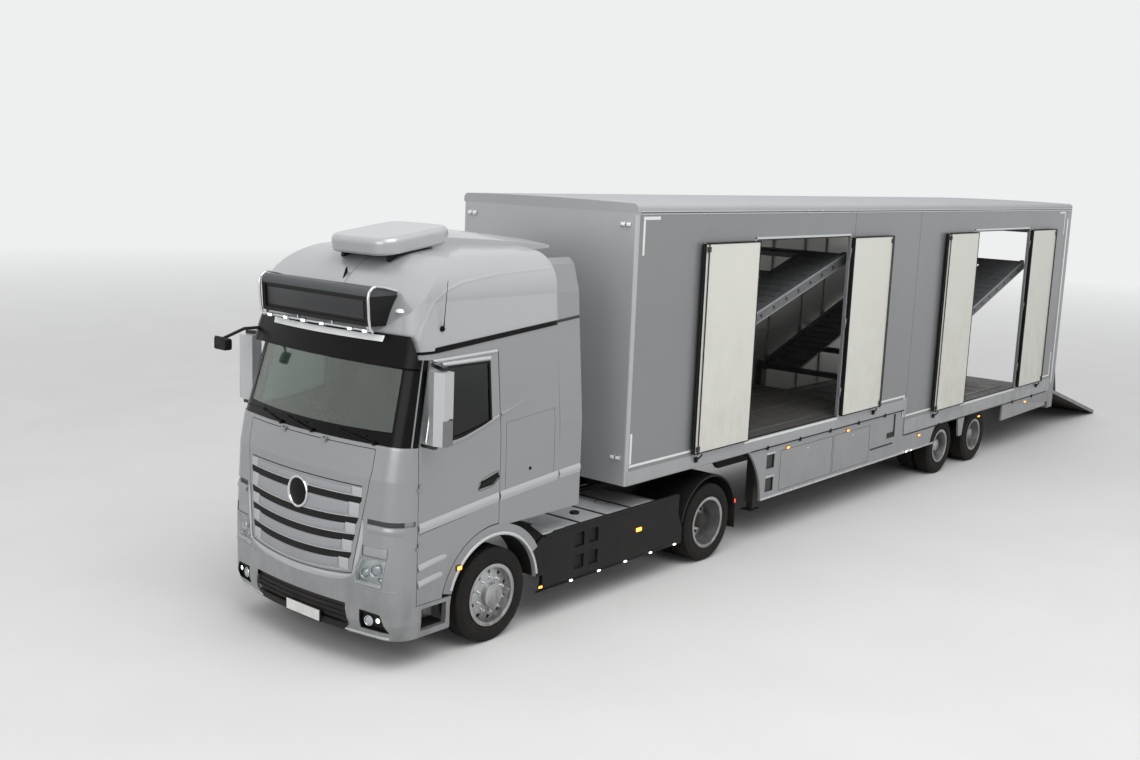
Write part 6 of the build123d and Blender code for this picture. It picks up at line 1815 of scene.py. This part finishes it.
def lay_floor():
    bpy.ops.mesh.primitive_plane_add(size=400, location=(0, 0, 0))
    floor = settle(just_added("studio_floor"))
    material, tree, shader = start_material("studio_floor")
    cloud = noise(tree, object_place(tree), 0.7, 6)
    shade = blend_colours(tree, cloud, (0.60, 0.60, 0.595, 1.0), (0.66, 0.66, 0.655, 1.0))
    feed(tree, shader, {"Base Color": shade, "Roughness": 0.85, "Specular IOR Level": 0.2})
    far = add_node(tree, "ShaderNodeVectorMath", {0: object_place(tree)}, operation="LENGTH")
    fade = ramp_between(tree, far.outputs["Value"], 12.0, 46.0)
    seen = times(tree, fade, backdrop_rays(tree), clamp=True)
    glow = add_node(tree, "ShaderNodeEmission", {"Color": BACKDROP, "Strength": 1.0})
    lit = tree.nodes["Principled BSDF"].outputs[0]
    both = add_node(tree, "ShaderNodeMixShader", {0: seen, 1: lit, 2: glow.outputs[0]})
    tree.links.new(both.outputs[0], tree.nodes["Material Output"].inputs["Surface"])
    floor.data.materials.append(material)


def light_studio():
    world = bpy.data.worlds.new("studio")
    bpy.context.scene.world = world
    world.use_nodes = True
    tree = world.node_tree
    plain = tree.nodes["Background"]
    heading = add_node(tree, "ShaderNodeTexCoord")
    parts = add_node(tree, "ShaderNodeSeparateXYZ", {0: heading.outputs["Generated"]})
    level = add_node(tree, "ShaderNodeMapRange",
                     {"Value": parts.outputs["Z"], "From Min": 0.0, "From Max": 0.9, "To Min": 0.26, "To Max": 1.0})
    feed(tree, plain.inputs, {"Color": (0.99, 0.995, 1.0, 1.0), "Strength": level.outputs[0]})
    shown = add_node(tree, "ShaderNodeBackground", {"Color": BACKDROP, "Strength": 1.0})
    both = add_node(tree, "ShaderNodeMixShader",
                    {0: backdrop_rays(tree), 1: plain.outputs[0], 2: shown.outputs[0]})
    tree.links.new(both.outputs[0], tree.nodes["World Output"].inputs["Surface"])
    for name, place, aim, size, power in PANELS:
        lamp = bpy.data.lights.new(name, "AREA")
        lamp.energy = power
        lamp.size = size
        holder = bpy.data.objects.new(name, lamp)
        bpy.context.scene.collection.objects.link(holder)
        holder.location = place
        holder.rotation_euler = (Vector(aim) - Vector(place)).to_track_quat("-Z", "Y").to_euler()


def set_camera():
    lens = bpy.data.cameras.new("camera")
    lens.sensor_width = 36.0
    lens.lens = 39.668
    lens.clip_end = 300.0
    camera = bpy.data.objects.new("camera", lens)
    bpy.context.scene.collection.objects.link(camera)
    heading = Matrix.Rotation(radians(40.0235 - 90.0), 4, "Z")
    pitch = Matrix.Rotation(radians(90.0 - 9.8632), 4, "X")
    roll = Matrix.Rotation(radians(2.2949), 4, "Z")
    camera.matrix_world = Matrix.Translation((-16.648, -9.2325, 4.6437)) @ heading @ pitch @ roll
    bpy.context.scene.camera = camera


for fit in (fit_wheels, fit_flap, fit_flap_frame, fit_headlamps, fit_bumper, fit_screen, fit_light_box, fit_door,
            fit_cab_side, fit_roof, fit_mirrors, fit_chassis, fit_tapes, fit_wall_rails, fit_corner_lamps):
    fit()
for leaf in LEAVES:
    fit_leaf(*leaf)
for fit in (fit_openings, fit_hatches, fit_tail, fit_inside):
    fit()
fit_deck("front_upper_deck", 0.350, 2.120, 17.1, 4.750)
fit_deck("rear_upper_deck", 6.650, 1.600, 18.8, 4.950)
fit_ramp()
bpy.context.scene.collection.children.link(finished_shelf)
lay_floor()
light_studio()
set_camera()
bpy.context.scene.view_settings.view_transform = "Standard"
